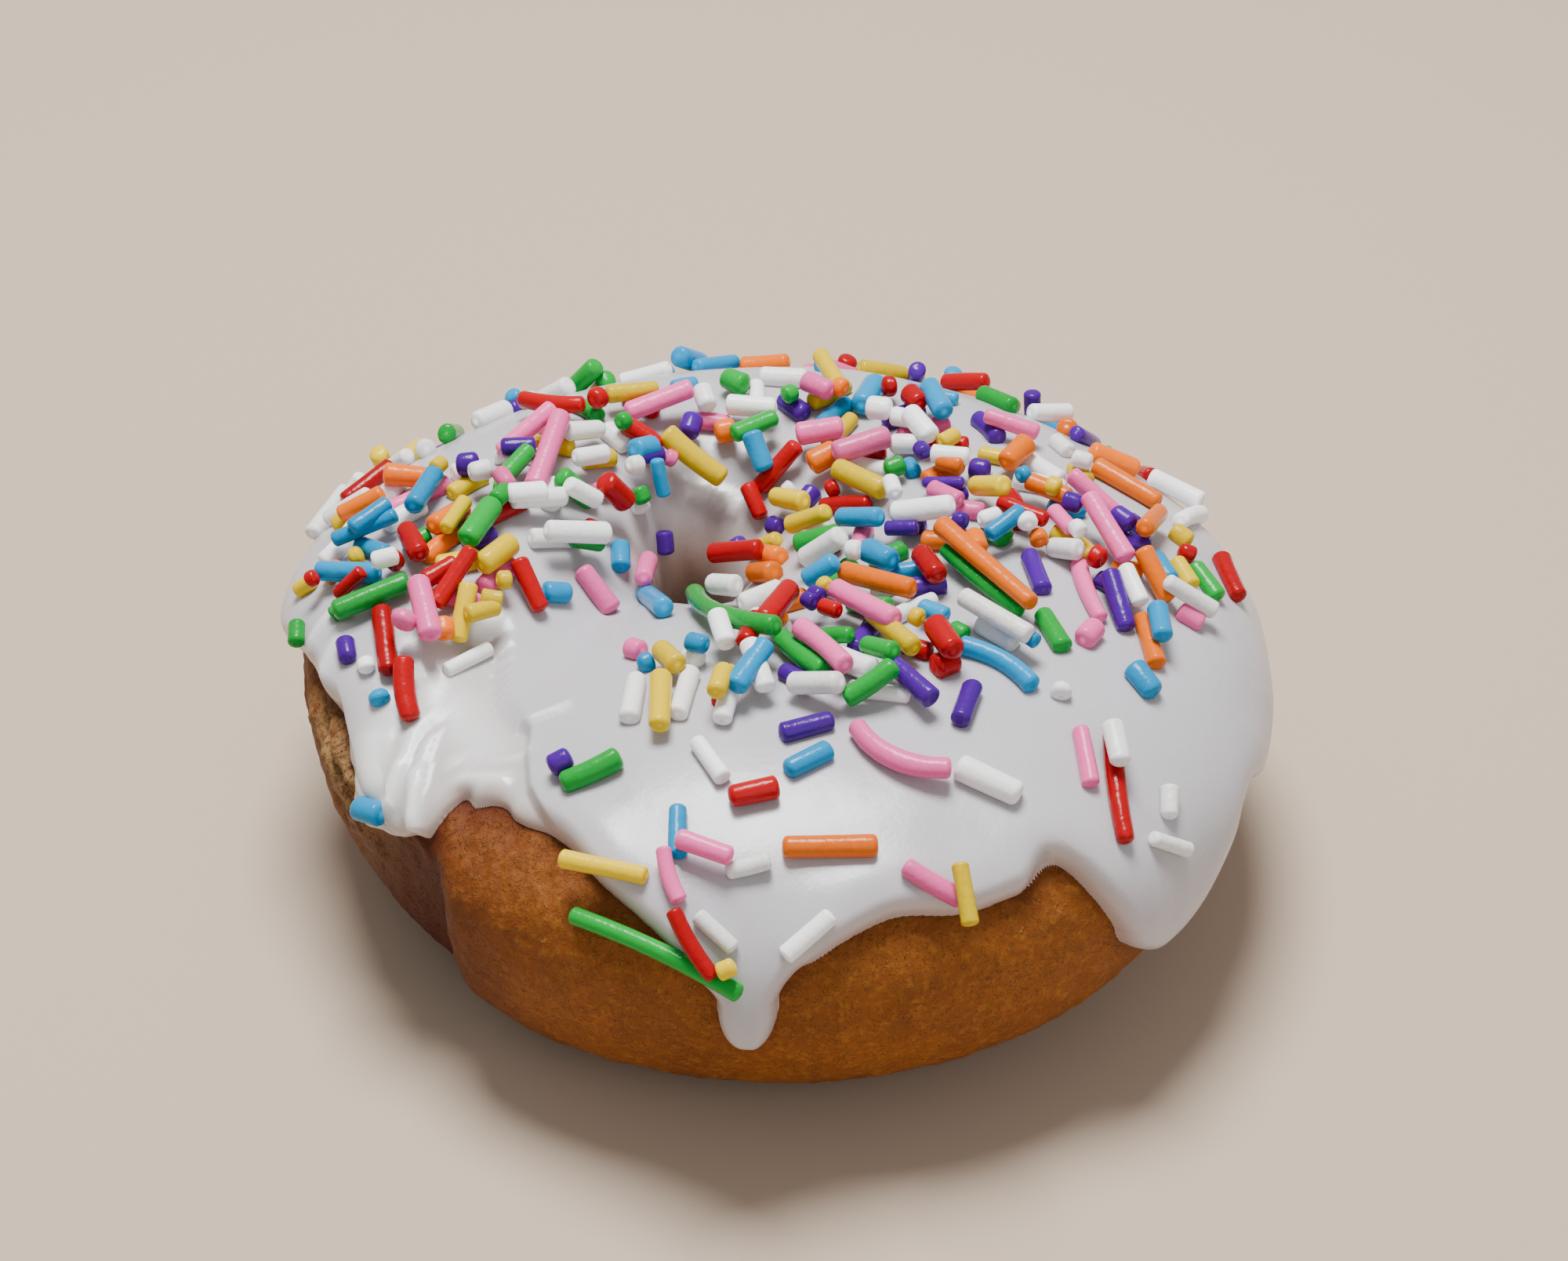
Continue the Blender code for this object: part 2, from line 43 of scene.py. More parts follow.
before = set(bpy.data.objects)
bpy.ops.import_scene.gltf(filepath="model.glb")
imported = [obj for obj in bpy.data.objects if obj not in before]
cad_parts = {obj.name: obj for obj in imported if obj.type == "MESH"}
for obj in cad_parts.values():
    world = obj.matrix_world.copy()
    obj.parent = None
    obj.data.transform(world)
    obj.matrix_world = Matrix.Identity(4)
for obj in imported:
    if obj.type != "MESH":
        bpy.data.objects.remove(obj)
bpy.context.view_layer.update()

MM = 0.001

# The ring. Its swells are rows of turn, spread in degrees and height
RING_MIDDLE = np.array([0.3, 2.1]) * MM
RING_RADIUS = 43.0 * MM
RING_SWELLS = (
    (300, 22, 0.9 * MM), (205, 16, -1.6 * MM), (334, 14, -0.8 * MM), (354, 16, -0.9 * MM),
    (50, 28, -3.9 * MM), (106, 28, -4.4 * MM),
)
HOLE_MIDDLE = np.array([-7.2, 10.4]) * MM
HOLE_RADIUS = 5.8 * MM
HOLE_SWELLS = ((90, 30, 0.9 * MM), (270, 40, 0.6 * MM))
CREST_HEIGHT = 29.5 * MM
CREST_SWELLS = ((224, 15, -3.2 * MM), (170, 22, 0.9 * MM), (330, 40, 0.4 * MM), (90, 48, -1.0 * MM))
WAIST_HEIGHT = 17.5 * MM
WAIST_SWELLS = ((195, 26, 3.5 * MM), (350, 30, 1.5 * MM))
LEAN_SWELLS = ((148, 20, 3.4 * MM),)
FOOT_DEPTH = 1.5 * MM
TOP_ROUNDNESS, FOOT_ROUNDNESS = 0.92, 0.88

# The crease down the outer wall, where the ring was pinched: steep on its front side, slack on its left
CREASE_TURN, CREASE_DEPTH = 224.5, 3.0 * MM
CREASE_STEEP, CREASE_SLACK = 2.4, 9.0
CREASE_TILT, CREASE_REACH = -15, 55

# The small bumps of the crust, coarse and fine, and of the torn place
CRUST_LUMPS, TORN_LUMPS = (1.7 * MM, 0.8 * MM), (2.2 * MM, 1.1 * MM)

# Painted shade on the crust under the hem, in the crease and at the foot; then darker crust elsewhere as turn,
# spread and share
HEM_SHADE, HEM_SHADE_REACH, CREASE_SHADE = 0.5, 5.0, 0.9
FOOT_SHADE, FOOT_SHADE_FROM, FOOT_SHADE_FADE = 0.5, -40, 30
# The swell at turn 231 is painted shade on the lobe below the hem; the one at 210 darkens the crust left of
# the crease
SHADE_SWELLS = ((210, 15, 0.72), (231, 7, 0.22))

# Where the crust's bumps fade out: past the hem, and above the flat bottom
BARE_PAST_HEM, BARE_FADE, FOOT_FROM, FOOT_FADE = 2.0, 4.0, 78.0, 12.0

# The torn crust beside the crease
CRAG_TURN, CRAG_TILT, CRAG_RELIEF = 203, 6, 0.9 * MM
CRAG_SPREAD_TURN, CRAG_SPREAD_TILT = 8, 14

# The hem of the icing as turn and tilt, then its drips as turn, half width and drop in degrees
HEM = (
    (0, -6), (20, 3), (38, -2), (56, 10), (74, 2), (92, 12), (110, 3), (128, 13), (146, 5), (164, 11),
    (180, 8), (186, 17), (192, 25), (197, 25), (203, 27), (205.5, 22), (207, 18), (209, 14), (210, 8),
    (210.8, 2), (212, -1), (215, 0.5), (217, 3), (219, 8), (221.5, 18), (222.5, 20.5), (224, 25),
    (224.6, 31), (225.6, 42), (226.3, 47), (227, 48.6), (229.2, 48.6), (230.5, 50.5), (234, 52),
    (235.5, 50.2), (238, 49.4), (240.6, 49.2), (242.5, 48.3), (244.7, 46.5), (249, 39), (255, 29),
    (257.5, 24), (260, 17), (262.3, 10.5), (263.4, 8.5), (264.4, 8), (266.6, 8), (268.9, 8), (269.7, 9),
    (270.5, 12), (272, 17), (274, 20.2), (276, 23.5), (279, 27.5), (283, 31), (292, 28), (298, 28.5),
    (305.5, 27), (307.5, 13), (309.3, 0), (312, -7), (317, -10), (322, -9), (329, -3), (335, 2),
    (342, -4), (350, -5),
)
DRIPS = ((266.6, 3.2, 14), (66, 3.0, 15), (118, 3.2, 14), (12, 2.8, 12))
DRIP_TIP, DRIP_NECK = 2.25, 1.2
HOLE_HEM, HOLE_HEM_WAVE = 194, 5

# The smear that fingers wiped thin: where it begins and fades, how steep its edge is, how long a degree of
# turn and of tilt are there, and then the edge of the thick icing on its right as tilt and turn
SMEAR_FROM, SMEAR_FADE, SMEAR_STEP, SMEAR_TOP_FADE = 200, 9, 1.1 * MM, 12.0
SMEAR_LOWEST, SMEAR_HIGHEST = -90.0, 200.0
TURN_LENGTH, TILT_LENGTH = 0.5 * MM, 0.4 * MM
SMEAR_EDGE = (
    (30, 250), (47, 243.5), (54, 239.7), (57.5, 237.8), (63, 236.2), (67, 234.8), (71.5, 233.8),
    (74, 232.9), (75, 230.5), (76, 227.3), (77, 224.5), (78.5, 221.7), (81, 219.5), (86, 215), (90, 209),
    (97, 203),
)
# Ridges that the fingers left, as turn and tilt of both ends, then half width and height
RIDGES = (
    (207.5, 47, 210, 34, 1.5 * MM, 0.3 * MM), (210, 35, 213, 22, 1.5 * MM, 0.5 * MM),
    (213.5, 51, 216, 39, 0.7 * MM, 0.45 * MM), (216, 39, 217.2, 24, 0.75 * MM, 0.75 * MM),
    (217, 52, 219, 42, 0.5 * MM, 0.4 * MM), (219, 42, 222.3, 24, 0.65 * MM, 0.8 * MM),
    (222.5, 52, 226, 62, 0.6 * MM, 0.35 * MM), (226, 51, 232, 58, 0.9 * MM, 0.4 * MM),
    (228, 60, 234, 67, 0.7 * MM, 0.25 * MM), (233, 77, 238, 83.5, 0.6 * MM, 0.45 * MM),
    (208, 66, 214, 58, 2.0 * MM, 0.3 * MM), (216, 66, 226, 62, 2.4 * MM, 0.3 * MM),
    (203, 70, 206.5, 90, 0.8 * MM, 0.5 * MM), (188, 46, 191.5, 28, 0.5 * MM, 0.35 * MM),
    (193, 45, 197, 30, 0.6 * MM, 0.3 * MM), (104, 136, 88, 139, 0.7 * MM, 0.7 * MM),
    (88, 139, 66, 144, 0.7 * MM, 0.8 * MM),
)
# The icing's rounded hem and the bead along it, the gap under the icing, and its uneven depth
HEM_ROUND, HEM_DIP = 1.45 * MM, 3.0
ICING_GAP, ICING_RIPPLE = 0.42 * MM, 0.1 * MM
ICING_LUMP, ICING_LUMP_SIZE = 0.06 * MM, 3.5 * MM
BEAD_WIDTH, BEAD_PLACE = 2.6 * MM, 0.8

# How sprinkles settle: sunk into the icing, pressed together, and with low rounded ends
SUNK, PRESSED, BLUNT = 0.42, 0.92, 0.5
HIGHEST_PILE, HIGHEST_HEAP, HIGHEST_BOTTOM, TILTING_COST = 2.3 * MM, 0.9 * MM, 0.3 * MM, 1.2 * MM
SLOPES = np.linspace(-0.5, 0.5, 11)
LINE_POINTS, SHORTEST, LEAST_BEND, NEIGHBOURS = 7, 0.4 * MM, 1, 12 * MM

# The height above the dough at which the places below were read from the photo, how much too long they were
# read, the way from the ring to the camera, and how far a sprinkle may be shifted to show where it was read
READ_LIFT, READ_WIDE = 2.8 * MM, 0.4 * MM
SIGHT = np.array([0.0, -0.777, 0.629])
SIGHT_STEPS, LOWEST_FACING, LONGEST_SHIFT = 3, 0.42, 4.0 * MM

RED, ORANGE, YELLOW, GREEN, BLUE, VIOLET, PINK, WHITE = (
    "red", "orange", "yellow", "green", "blue", "violet", "pink", "white",
)
COLOURS = (RED, ORANGE, YELLOW, GREEN, BLUE, VIOLET, PINK, WHITE)
COLOUR_SHARES = (0.12, 0.13, 0.12, 0.12, 0.12, 0.1, 0.12, 0.17)

# Sprinkles as colour, turn and tilt of one end, turn and tilt of the other, girth, and bend in degrees where
# there is one. Those that lie on top of others come after them
FRONT = (
    (WHITE, 265, 43, 271, 46, .85, 8), (ORANGE, 272, 49.3, 284, 47.6, 1.15),
    (WHITE, 270.6, 22, 276.8, 33, .9), (PINK, 285.5, 42.5, 290.9, 30.5, .95, 12),
    (YELLOW, 290.6, 24.5, 292, 41, .85), (WHITE, 298, 62, 303.3, 49, 1.3),
    (PINK, 286.2, 78.3, 295.8, 58.3, 1.0, 70), (BLUE, 274.8, 68, 283.2, 73, 1.0),
    (RED, 266.1, 61.5, 273.9, 64.5, 1.1), (WHITE, 262.3, 76.7, 266.3, 65.7, .95),
    (GREEN, 243, 59, 251.5, 70, 1.15, 12), (VIOLET, 241, 61.5, 244.5, 67, 1.1),
    (BLUE, 259.7, 59.2, 259.7, 45, .85), (PINK, 259.2, 50.5, 266.4, 46.5, .95),
    (PINK, 257.6, 48, 259.8, 34, .75, 24), (YELLOW, 245.2, 40, 256.4, 40, .9),
    (GREEN, 247, 26, 267, 13.5, .9, -10), (RED, 258.8, 33, 263.6, 15.5, .75, 18),
    (WHITE, 261.6, 32.4, 266, 23.6, .8), (YELLOW, 263.6, 16.5, 266, 19.5, .9),
    (PINK, 311.8, 42.7, 317.2, 55.3, .85), (RED, 311, 27.2, 320.2, 50, .95, -10),
    (WHITE, 317.5, 42.8, 321.7, 51.8, 1.0), (WHITE, 318.8, 62.5, 321.2, 64.5, 1.0),
    (WHITE, 318.1, 24.4, 321.3, 30.8, .9), (WHITE, 314.5, 24.6, 319.1, 13.4, .85),
    (RED, 266.5, 87.5, 267.5, 88.5, .6), (WHITE, 290.8, 88.3, 300.2, 80.7, .85),
    (VIOLET, 302.8, 70.2, 310.6, 77, 1.0), (VIOLET, 301.5, 91, 302, 77, 1.0),
    (RED, 307, 85, 313, 83.5, 1.3), (GREEN, 318.5, 91, 318.5, 86, .9),
    (BLUE, 317, 87, 318.5, 67.5, 1.05, -45),
)
RIGHT = (
    (BLUE, 332.5, 55, 330.3, 46, 1.15), (ORANGE, 343.5, 57, 335, 49, 1.0),
    (VIOLET, 350.5, 67, 342, 59, 1.0), (WHITE, 351.5, 64, 345.5, 57.5, .9),
    (GREEN, 333.5, 77.5, 327.5, 68.5, 1.0), (PINK, 352, 74, 339, 65.5, .85, 15),
    (PINK, 339.5, 66, 334, 67.5, 1.2), (VIOLET, 349, 84.5, 338.5, 78.5, .95),
    (WHITE, 354, 80.5, 350.5, 73, 1.0), (PINK, 3.5, 79.5, 357, 75, .85),
    (ORANGE, 359.5, 83, 355.5, 82, .9), (WHITE, 358, 86, 354.5, 85, 1.05),
    (GREEN, 355.5, 95, 352, 88.5, 1.2), (VIOLET, 6, 77, 5, 71.5, 1.0), (PINK, 5.5, 72, 355, 62, 1.05),
    (RED, 357, 70, 356, 67.5, 1.2), (WHITE, 3, 74, 0, 72, .9), (VIOLET, 5, 65.5, 2, 60.5, 1.1),
    (ORANGE, 1.5, 58.5, 12, 48, .95), (ORANGE, 23, 59, 14.5, 46, 1.0), (YELLOW, 8, 48, 6, 42, 1.0),
    (RED, 3, 48, 3, 42, .95), (BLUE, .5, 55, 355, 50, 1.0), (ORANGE, 356.5, 60.5, 351.5, 50, 1.0),
    (YELLOW, 0, 49.5, 355, 44.5, .95), (GREEN, 1, 44, 356, 36, .95), (PINK, 348.5, 49, 348.5, 40.5, .95),
    (WHITE, 351, 54.5, 352.5, 37.5, .9), (BLUE, 350.5, 53.5, 344, 50, 1.05), (PINK, 15, 72, 8.5, 61, .95),
    (ORANGE, 15.5, 81, 10, 72, 1.0), (YELLOW, 11, 79, 9.5, 75, 1.0), (BLUE, 13, 84, 14.5, 81, .9),
    (RED, 10, 89.5, 4, 79, .8), (BLUE, 355.5, 94, 3.5, 85, .85), (WHITE, 359, 96, 3, 90, .9),
    (YELLOW, 13, 95, 4, 89, 1.0),
)
BACK_RIGHT = (
    (VIOLET, 20.5, 93, 18, 88, 1.1), (ORANGE, 24, 98.5, 19, 93.5, 1.0), (PINK, 17.5, 103, 9, 97.5, .9),
    (VIOLET, 22, 103, 17, 94, .6), (WHITE, 24, 63, 22, 58, .9), (WHITE, 32, 61, 26, 62, .9),
    (PINK, 38, 75, 31, 65, .9), (YELLOW, 32.5, 80, 28, 73, .9), (ORANGE, 22, 82, 28, 71, 1.25),
    (YELLOW, 31, 93, 34, 85, .9), (WHITE, 29, 96, 24, 88, 1.0), (WHITE, 48, 92, 40, 88, 1.0),
    (WHITE, 43, 96, 38, 90, 1.0), (VIOLET, 27.5, 101, 21.5, 102, .9), (GREEN, 94, 79, 87, 87, 1.2),
    (WHITE, 87.5, 82, 76, 81.5, 1.1), (WHITE, 98, 83, 95, 96, 1.1), (WHITE, 90.5, 94, 76, 95, 1.1),
    (ORANGE, 92, 106.5, 84.5, 104, 1.2), (GREEN, 83.5, 112.5, 74, 100, 1.1),
    (GREEN, 75.5, 96.5, 73.5, 91, 1.0), (BLUE, 78.5, 67.5, 77.5, 61, 1.1), (YELLOW, 78.5, 56, 67, 80, .9),
    (PINK, 74.5, 78.5, 65.5, 83, 1.1), (ORANGE, 67, 83.5, 62.5, 85.5, 1.0),
    (WHITE, 53.5, 93.5, 47.5, 90, 1.2), (BLUE, 56.5, 94, 65, 72, 1.2), (RED, 60.5, 75, 59, 71.5, 1.1),
    (RED, 54, 76.5, 47, 81.5, 1.1), (WHITE, 46.5, 85.5, 35, 89, 1.1), (BLUE, 52, 74, 38.5, 85, 1.1),
    (PINK, 65, 106, 55, 97, 1.2),
)
BACK_LEFT = (
    (VIOLET, 101, 103, 99.5, 92, 1.15), (PINK, 119, 88, 101, 90, 1.1), (YELLOW, 122, 78, 109, 84, .9),
    (RED, 122, 87, 113, 105, 1.0, -25), (GREEN, 126, 94, 122, 94, 1.0), (BLUE, 129, 105, 117, 107, 1.3),
    (VIOLET, 130, 111, 115, 114, .9), (WHITE, 143, 90, 130, 95, 1.0), (WHITE, 146, 97, 134, 103, 1.0),
    (WHITE, 133, 115, 124, 118, 1.0), (RED, 135, 56, 129, 83, .9, 35), (RED, 127.5, 81, 123, 80, 1.1),
    (PINK, 166, 100, 140, 84, 1.15), (PINK, 154, 76, 140, 83, .9), (GREEN, 166, 88, 154, 87, .95),
    (VIOLET, 155, 76, 151, 86, 1.0), (VIOLET, 162, 70, 161, 78, 1.2), (GREEN, 160.5, 104, 157, 120, 1.1),
    (WHITE, 172, 96, 165, 112, 1.0), (WHITE, 168, 112, 164, 126, 1.0), (WHITE, 178, 108, 172, 124, 1.0),
    (WHITE, 172, 94, 168, 106, 1.0), (WHITE, 165, 76, 162, 82, 1.0), (RED, 152, 120, 143, 133, 1.3),
    (RED, 166, 128, 162, 138, 1.0), (GREEN, 178, 122, 175, 135, 1.0), (WHITE, 188, 112, 187, 137, 1.1),
    (BLUE, 197, 116, 199, 127, 1.1), (PINK, 203, 120, 235, 127, 1.15), (BLUE, 189, 142.5, 205, 139, 1.0),
    (BLUE, 213, 149.6, 255, 124.4, 1.05), (RED, 188, 105, 203, 111, 1.0),
    (WHITE, 143, 124, 150, 137, 1.0), (BLUE, 127, 120, 123, 137, .8, 15), (GREEN, 131, 130, 133, 139, .9),
    (PINK, 116, 119, 113, 121, .9), (VIOLET, 138, 145.5, 144.5, 158, .9),
    (PINK, 172.5, 161, 211, 146, 1.0), (YELLOW, 112, 106, 82, 130.5, 1.2, 10),
)
HOLE_SIDE = (
    (RED, 65, 134, 57, 116, .95), (RED, 65, 135.5, 40, 146.5, .9), (BLUE, 77, 111, 63.5, 124, 1.1),
    (ORANGE, 44.5, 124, 43.5, 113, 1.3), (RED, 32, 126.5, 32, 121.5, 1.0),
    (YELLOW, 34.5, 121, 14.5, 114.5, 1.1), (PINK, 43, 114.5, 41, 97, 1.2),
    (GREEN, 32, 107, 32.5, 100, 1.0), (VIOLET, 37.5, 133.5, 43, 125, 1.0),
    (WHITE, 52, 132.5, 50.5, 127.5, 1.0), (WHITE, 21, 111.5, 10, 113, .9), (VIOLET, .5, 118, 0, 109, .8),
    (VIOLET, 354, 114, 355, 107, 1.2), (VIOLET, 2.5, 101, 0, 98, 1.0), (WHITE, 6, 115.5, 3, 100, 1.1),
    (BLUE, 3, 129.5, 352, 117, 1.0), (BLUE, 346, 122, 339, 113, 1.3), (WHITE, 341, 126, 341, 121, 1.0),
    (ORANGE, 332, 125.5, 331, 105.5, 1.05), (RED, 340.5, 107.5, 331.5, 100, 1.1),
    (GREEN, 343, 103, 332.5, 81.5, .85, 12), (ORANGE, 354, 105, 337, 80.5, 1.05),
    (ORANGE, 355, 97, 348, 95, 1.0), (BLUE, 327, 103, 327, 95.5, 1.0), (WHITE, 323.5, 87.5, 323, 77, 1.1),
    (BLUE, 326, 84, 325, 73.5, .8), (WHITE, 331, 95, 328.5, 77, 1.0), (RED, 312.5, 99, 315, 92, 1.0),
    (RED, 320, 96, 315.5, 86.5, 1.2), (YELLOW, 311.5, 107, 309, 91.5, 1.05),
    (YELLOW, 318.5, 101, 319, 97, .9), (GREEN, 322.5, 120, 322, 107.5, .9),
    (PINK, 316.5, 121, 315, 101.5, 1.1), (BLUE, 313.5, 129.5, 323.5, 121.5, 1.0),
    (VIOLET, 308, 124, 309, 119, .9), (YELLOW, 316.5, 124.5, 315, 121, .9),
    (WHITE, 331, 137, 335, 123, 1.1), (RED, 338, 139, 341, 127, .7), (GREEN, 351, 143, 354.5, 128.5, 1.1),
    (YELLOW, 47, 138, 22, 134.5, 1.1), (YELLOW, 24.5, 142.5, 9.5, 130.5, 1.0),
    (VIOLET, 29, 146.5, 14, 145.5, 1.0), (YELLOW, 19, 158.5, 3.5, 147, .9),
    (ORANGE, 332, 156, 320, 142, 1.15), (ORANGE, 354.9, 154.4, 337.1, 144.6, 1.1),
    (RED, 38.2, 169.7, 7.8, 156.3, 1.1), (VIOLET, 35, 166, 22, 161, .9),
)
NEAR_RIM = (
    (WHITE, 282.5, 130, 307.5, 132.5, 1.0), (BLUE, 262, 144, 272, 146, 1.0),
    (WHITE, 273, 145, 287, 137, 1.15), (VIOLET, 304, 123, 304.5, 118.5, .9),
    (RED, 305.5, 118.5, 307.5, 112.5, .8), (GREEN, 293, 117, 306, 107, .8, -40),
    (WHITE, 299, 109, 301.5, 95.5, 1.2), (VIOLET, 281, 97.5, 285.5, 90.5, .9),
    (GREEN, 286, 114, 290, 97.5, 1.0, 20), (PINK, 293.5, 114.5, 295.5, 97, 1.1, -12),
    (GREEN, 304.5, 103, 306, 94, 1.0), (GREEN, 304, 91.5, 292, 92.5, 1.15, -20),
    (WHITE, 283, 101, 291.5, 92.5, 1.15), (VIOLET, 276.5, 87, 288, 89, 1.0),
    (ORANGE, 287.5, 119, 291.5, 116, .8), (RED, 282.5, 115.5, 304.5, 128.5, 1.15),
    (GREEN, 248, 160, 282, 115, 1.0, 45), (RED, 274.5, 109.5, 282.5, 121, 1.0),
    (WHITE, 261, 104.5, 265, 101, 1.0), (WHITE, 268.5, 122, 270, 111.5, 1.0),
    (BLUE, 260, 108, 266, 106, 1.0), (WHITE, 274.5, 98.5, 276, 87.5, 1.0),
    (WHITE, 266.5, 84, 269.5, 93.5, 1.0), (WHITE, 259.5, 82.5, 262.5, 98.5, 1.0),
    (WHITE, 251.5, 80, 251.5, 95, 1.0), (YELLOW, 256.5, 78, 256, 95, 1.1),
    (YELLOW, 265, 92.5, 268, 101.5, 1.05), (YELLOW, 269, 109.5, 270, 104, 1.0),
    (BLUE, 269, 96.5, 280, 108.5, 1.15), (BLUE, 251, 98, 254.5, 101.5, 1.0),
    (PINK, 247, 106, 252, 104, 1.0), (YELLOW, 254, 106, 259, 98, 1.05),
)
LEFT = (
    (ORANGE, 168, 36, 166, 52, 1.0), (ORANGE, 161, 44, 158, 58, 1.15), (BLUE, 173, 37, 172, 60, .85),
    (BLUE, 177, 50, 173, 62, .9), (BLUE, 163, 66, 174, 67, 1.1), (YELLOW, 163.5, 71, 167, 70, .8),
    (ORANGE, 179, 35, 177, 42, .9), (YELLOW, 177, 44, 177, 50, .9), (BLUE, 177, 32, 181.5, 55, 1.0),
    (RED, 182, 60, 180.5, 64, 1.25), (RED, 178.5, 68, 187.5, 74, 1.05), (WHITE, 185, 58, 186, 68, .9),
    (ORANGE, 179, 75, 171, 82, 1.05), (YELLOW, 183, 81, 174, 85, .8), (GREEN, 183.5, 86, 171, 90, 1.15),
    (GREEN, 174, 91, 168, 92, .9), (PINK, 163, 84, 169, 93, .9), (YELLOW, 191.5, 91, 185.5, 103, 1.2),
    (YELLOW, 194, 96, 195, 102, 1.0), (RED, 189.5, 73, 188, 85, .95), (RED, 195.5, 75, 189, 90, .9),
    (YELLOW, 201, 80, 192.5, 88, .95), (YELLOW, 202, 82, 203, 94, .95), (YELLOW, 203, 95, 200, 88, .85),
    (ORANGE, 203.5, 74, 199.5, 76, 1.0), (WHITE, 206, 73, 206.5, 90, .8), (PINK, 204, 69, 192, 72, 1.2),
    (RED, 194.5, 58.5, 205.5, 51.5, 1.0), (PINK, 198.5, 62, 197, 66, 1.25),
    (RED, 205, 57.5, 213, 49.5, 1.0, 20), (WHITE, 200.5, 47, 203, 46, .9),
    (VIOLET, 195.5, 44, 199.5, 41.5, .95), (GREEN, 190.5, 41, 190.5, 50, .85),
    (GREEN, 187.5, 41, 187.5, 68, 1.1), (RED, 183, 40, 183.5, 54, .7), (YELLOW, 180, 27, 181, 37, .9),
    (RED, 182, 34, 182.5, 40, .8), (GREEN, 186, 28, 190, 27, .9), (BLUE, 206.5, 45, 208.5, 44.5, 1.0),
    (BLUE, 213.2, 18, 218.4, 27, 1.25),
)
PLACED = FRONT + RIGHT + BACK_RIGHT + BACK_LEFT + HOLE_SIDE + NEAR_RIM + LEFT

# Sprinkles at the bottom of the heaps, which lie first, and then loose heaps where no single sprinkle was
# followed, as turn and reach, tilt and reach, and how many
BOTTOM = (
    (150, 22, 96, 26, 46), (176, 12, 84, 18, 26), (195, 10, 92, 14, 14), (94, 26, 98, 12, 16),
    (5, 22, 82, 26, 40), (336, 18, 112, 16, 30), (40, 22, 92, 22, 26), (20, 26, 128, 12, 14),
    (300, 14, 112, 12, 10), (170, 12, 48, 12, 10),
)
HEAPS = (
    (100, 62, 22, 18, 90), (88, 50, 38, 8, 26), (14, 20, 32, 10, 6), (40, 16, 40, 16, 16),
    (155, 12, 30, 14, 12),
)
HEAP_LENGTH, BOTTOM_LENGTH = (3.6 * MM, 7.6 * MM), (2.6 * MM, 5.4 * MM)
HEAP_ABOVE_HEM, LOOSE_BEND, LOOSE_GIRTH = 8.0, 12, (0.88, 1.12)

# The seeded unevenness of large forms, and the grid of random values that small bumps are drawn from
RIPPLE_SEED, RIPPLE_WAVES, RIPPLE_SPREAD = 41, 6, (0.6, 1.4)
LUMP_GRID, LUMP_ORIGIN = 32, 500.0

# Lines of the meshes: round the ring, round the section of the dough, and over and under the icing. Fine turns
# are where the lines lie closer together, as turn, spread and how much closer
DOUGH_ROUNDS, DOUGH_SECTIONS, DOUGH_SHOWN = 620, 150, 104
DOUGH_SHOWN_TILTS, DOUGH_OTHER_TILTS = (-88, 60), (66, 266)
DOUGH_FINE_TURNS = ((270, 60, 0.8), (225, 12, 1.0))
ICING_ROUNDS, ICING_NEAR_HEM, ICING_CROWN, ICING_IN_HOLE, ICING_UNDER = 660, 80, 44, 14, 12
FINE_TURNS = (
    (220, 14, 1.6), (266.5, 4, 3.0), (308.5, 4, 3.0), (265, 60, 1.0), (66, 4, 2.6), (118, 4, 2.6),
    (12, 4, 2.6),
)

# How far the icing's mesh runs past its hems and keeps fine lines beside them, how far round it looks for the
# lowest hem, how deep it is tucked into the dough, and how closely the hems are followed
HEM_MARGIN, HEM_ZONE, HOLE_ZONE = 2.0, 36.0, 12.0
HEM_LOOKOUT, LOOKOUT_STEPS, LOOKOUT_SPREAD = 4.2, 41, 0.4
TUCKED, UNDERSIDE = 0.35 * MM, 0.6 * MM
HEM_STEP, HEM_BETWEEN = 0.05, 8

# Where the icing's look changes: the ridges' fade at the hem and the height at which their painted highlight
# is full, the width of the rim, and in the hole the tilt from which dough showing through and painted shade
# darken the icing, how fast, and how strongly
RIDGE_FADE, RIDGE_FULL_HIGHLIGHT, RIM_WIDTH = 0.6 * MM, 0.55 * MM, 0.55 * MM
HOLE_FROM, HOLE_FADE, HOLE_SHARE, HOLE_BACK = 128, 45, 0.55, ((100, 40, 0.45),)

# The mesh of a sprinkle: its sides, the length of a step, its rounded ends, and how uneven it is
SPRINKLE_SIDES, SPRINKLE_STEP = 14, 0.75 * MM
CAP_START, CAP_RINGS, CAP_FULLNESS, CAP_TIP = 0.12, 5, 0.62, 0.02
SWELL, TAPER, FLATTEST, LUMP = (0.02, 0.06), 0.1, 0.92, 0.03

# Sizes of the patterns in the crust, the icing and the sprinkles, and how strongly they show
BLOTCH, GRAIN, FLECK, PORE = 9 * MM, 0.9 * MM, 0.8 * MM, 2.6 * MM
BLOTCH_SHARE, GRAIN_SHARE, FLECK_SHARE = 0.42, 0.35, 0.7
CLOUD, SHEEN, DIMPLE, FINE_DIMPLE = 7 * MM, 3 * MM, 1.6 * MM, 0.4 * MM
THIN_SHARE, CLOUD_SHARE, RIM_SHARE = 0.8, 0.12, 0.6
SPECK, KNOB, SPECK_SHARE, DEEP_TONE, LIGHT_TONE = 0.5 * MM, 0.7 * MM, 0.35, 0.72, 1.12
CRUST_BUMP, ICING_BUMP, SPRINKLE_BUMP = 0.24 * MM, 0.05 * MM, 0.08 * MM

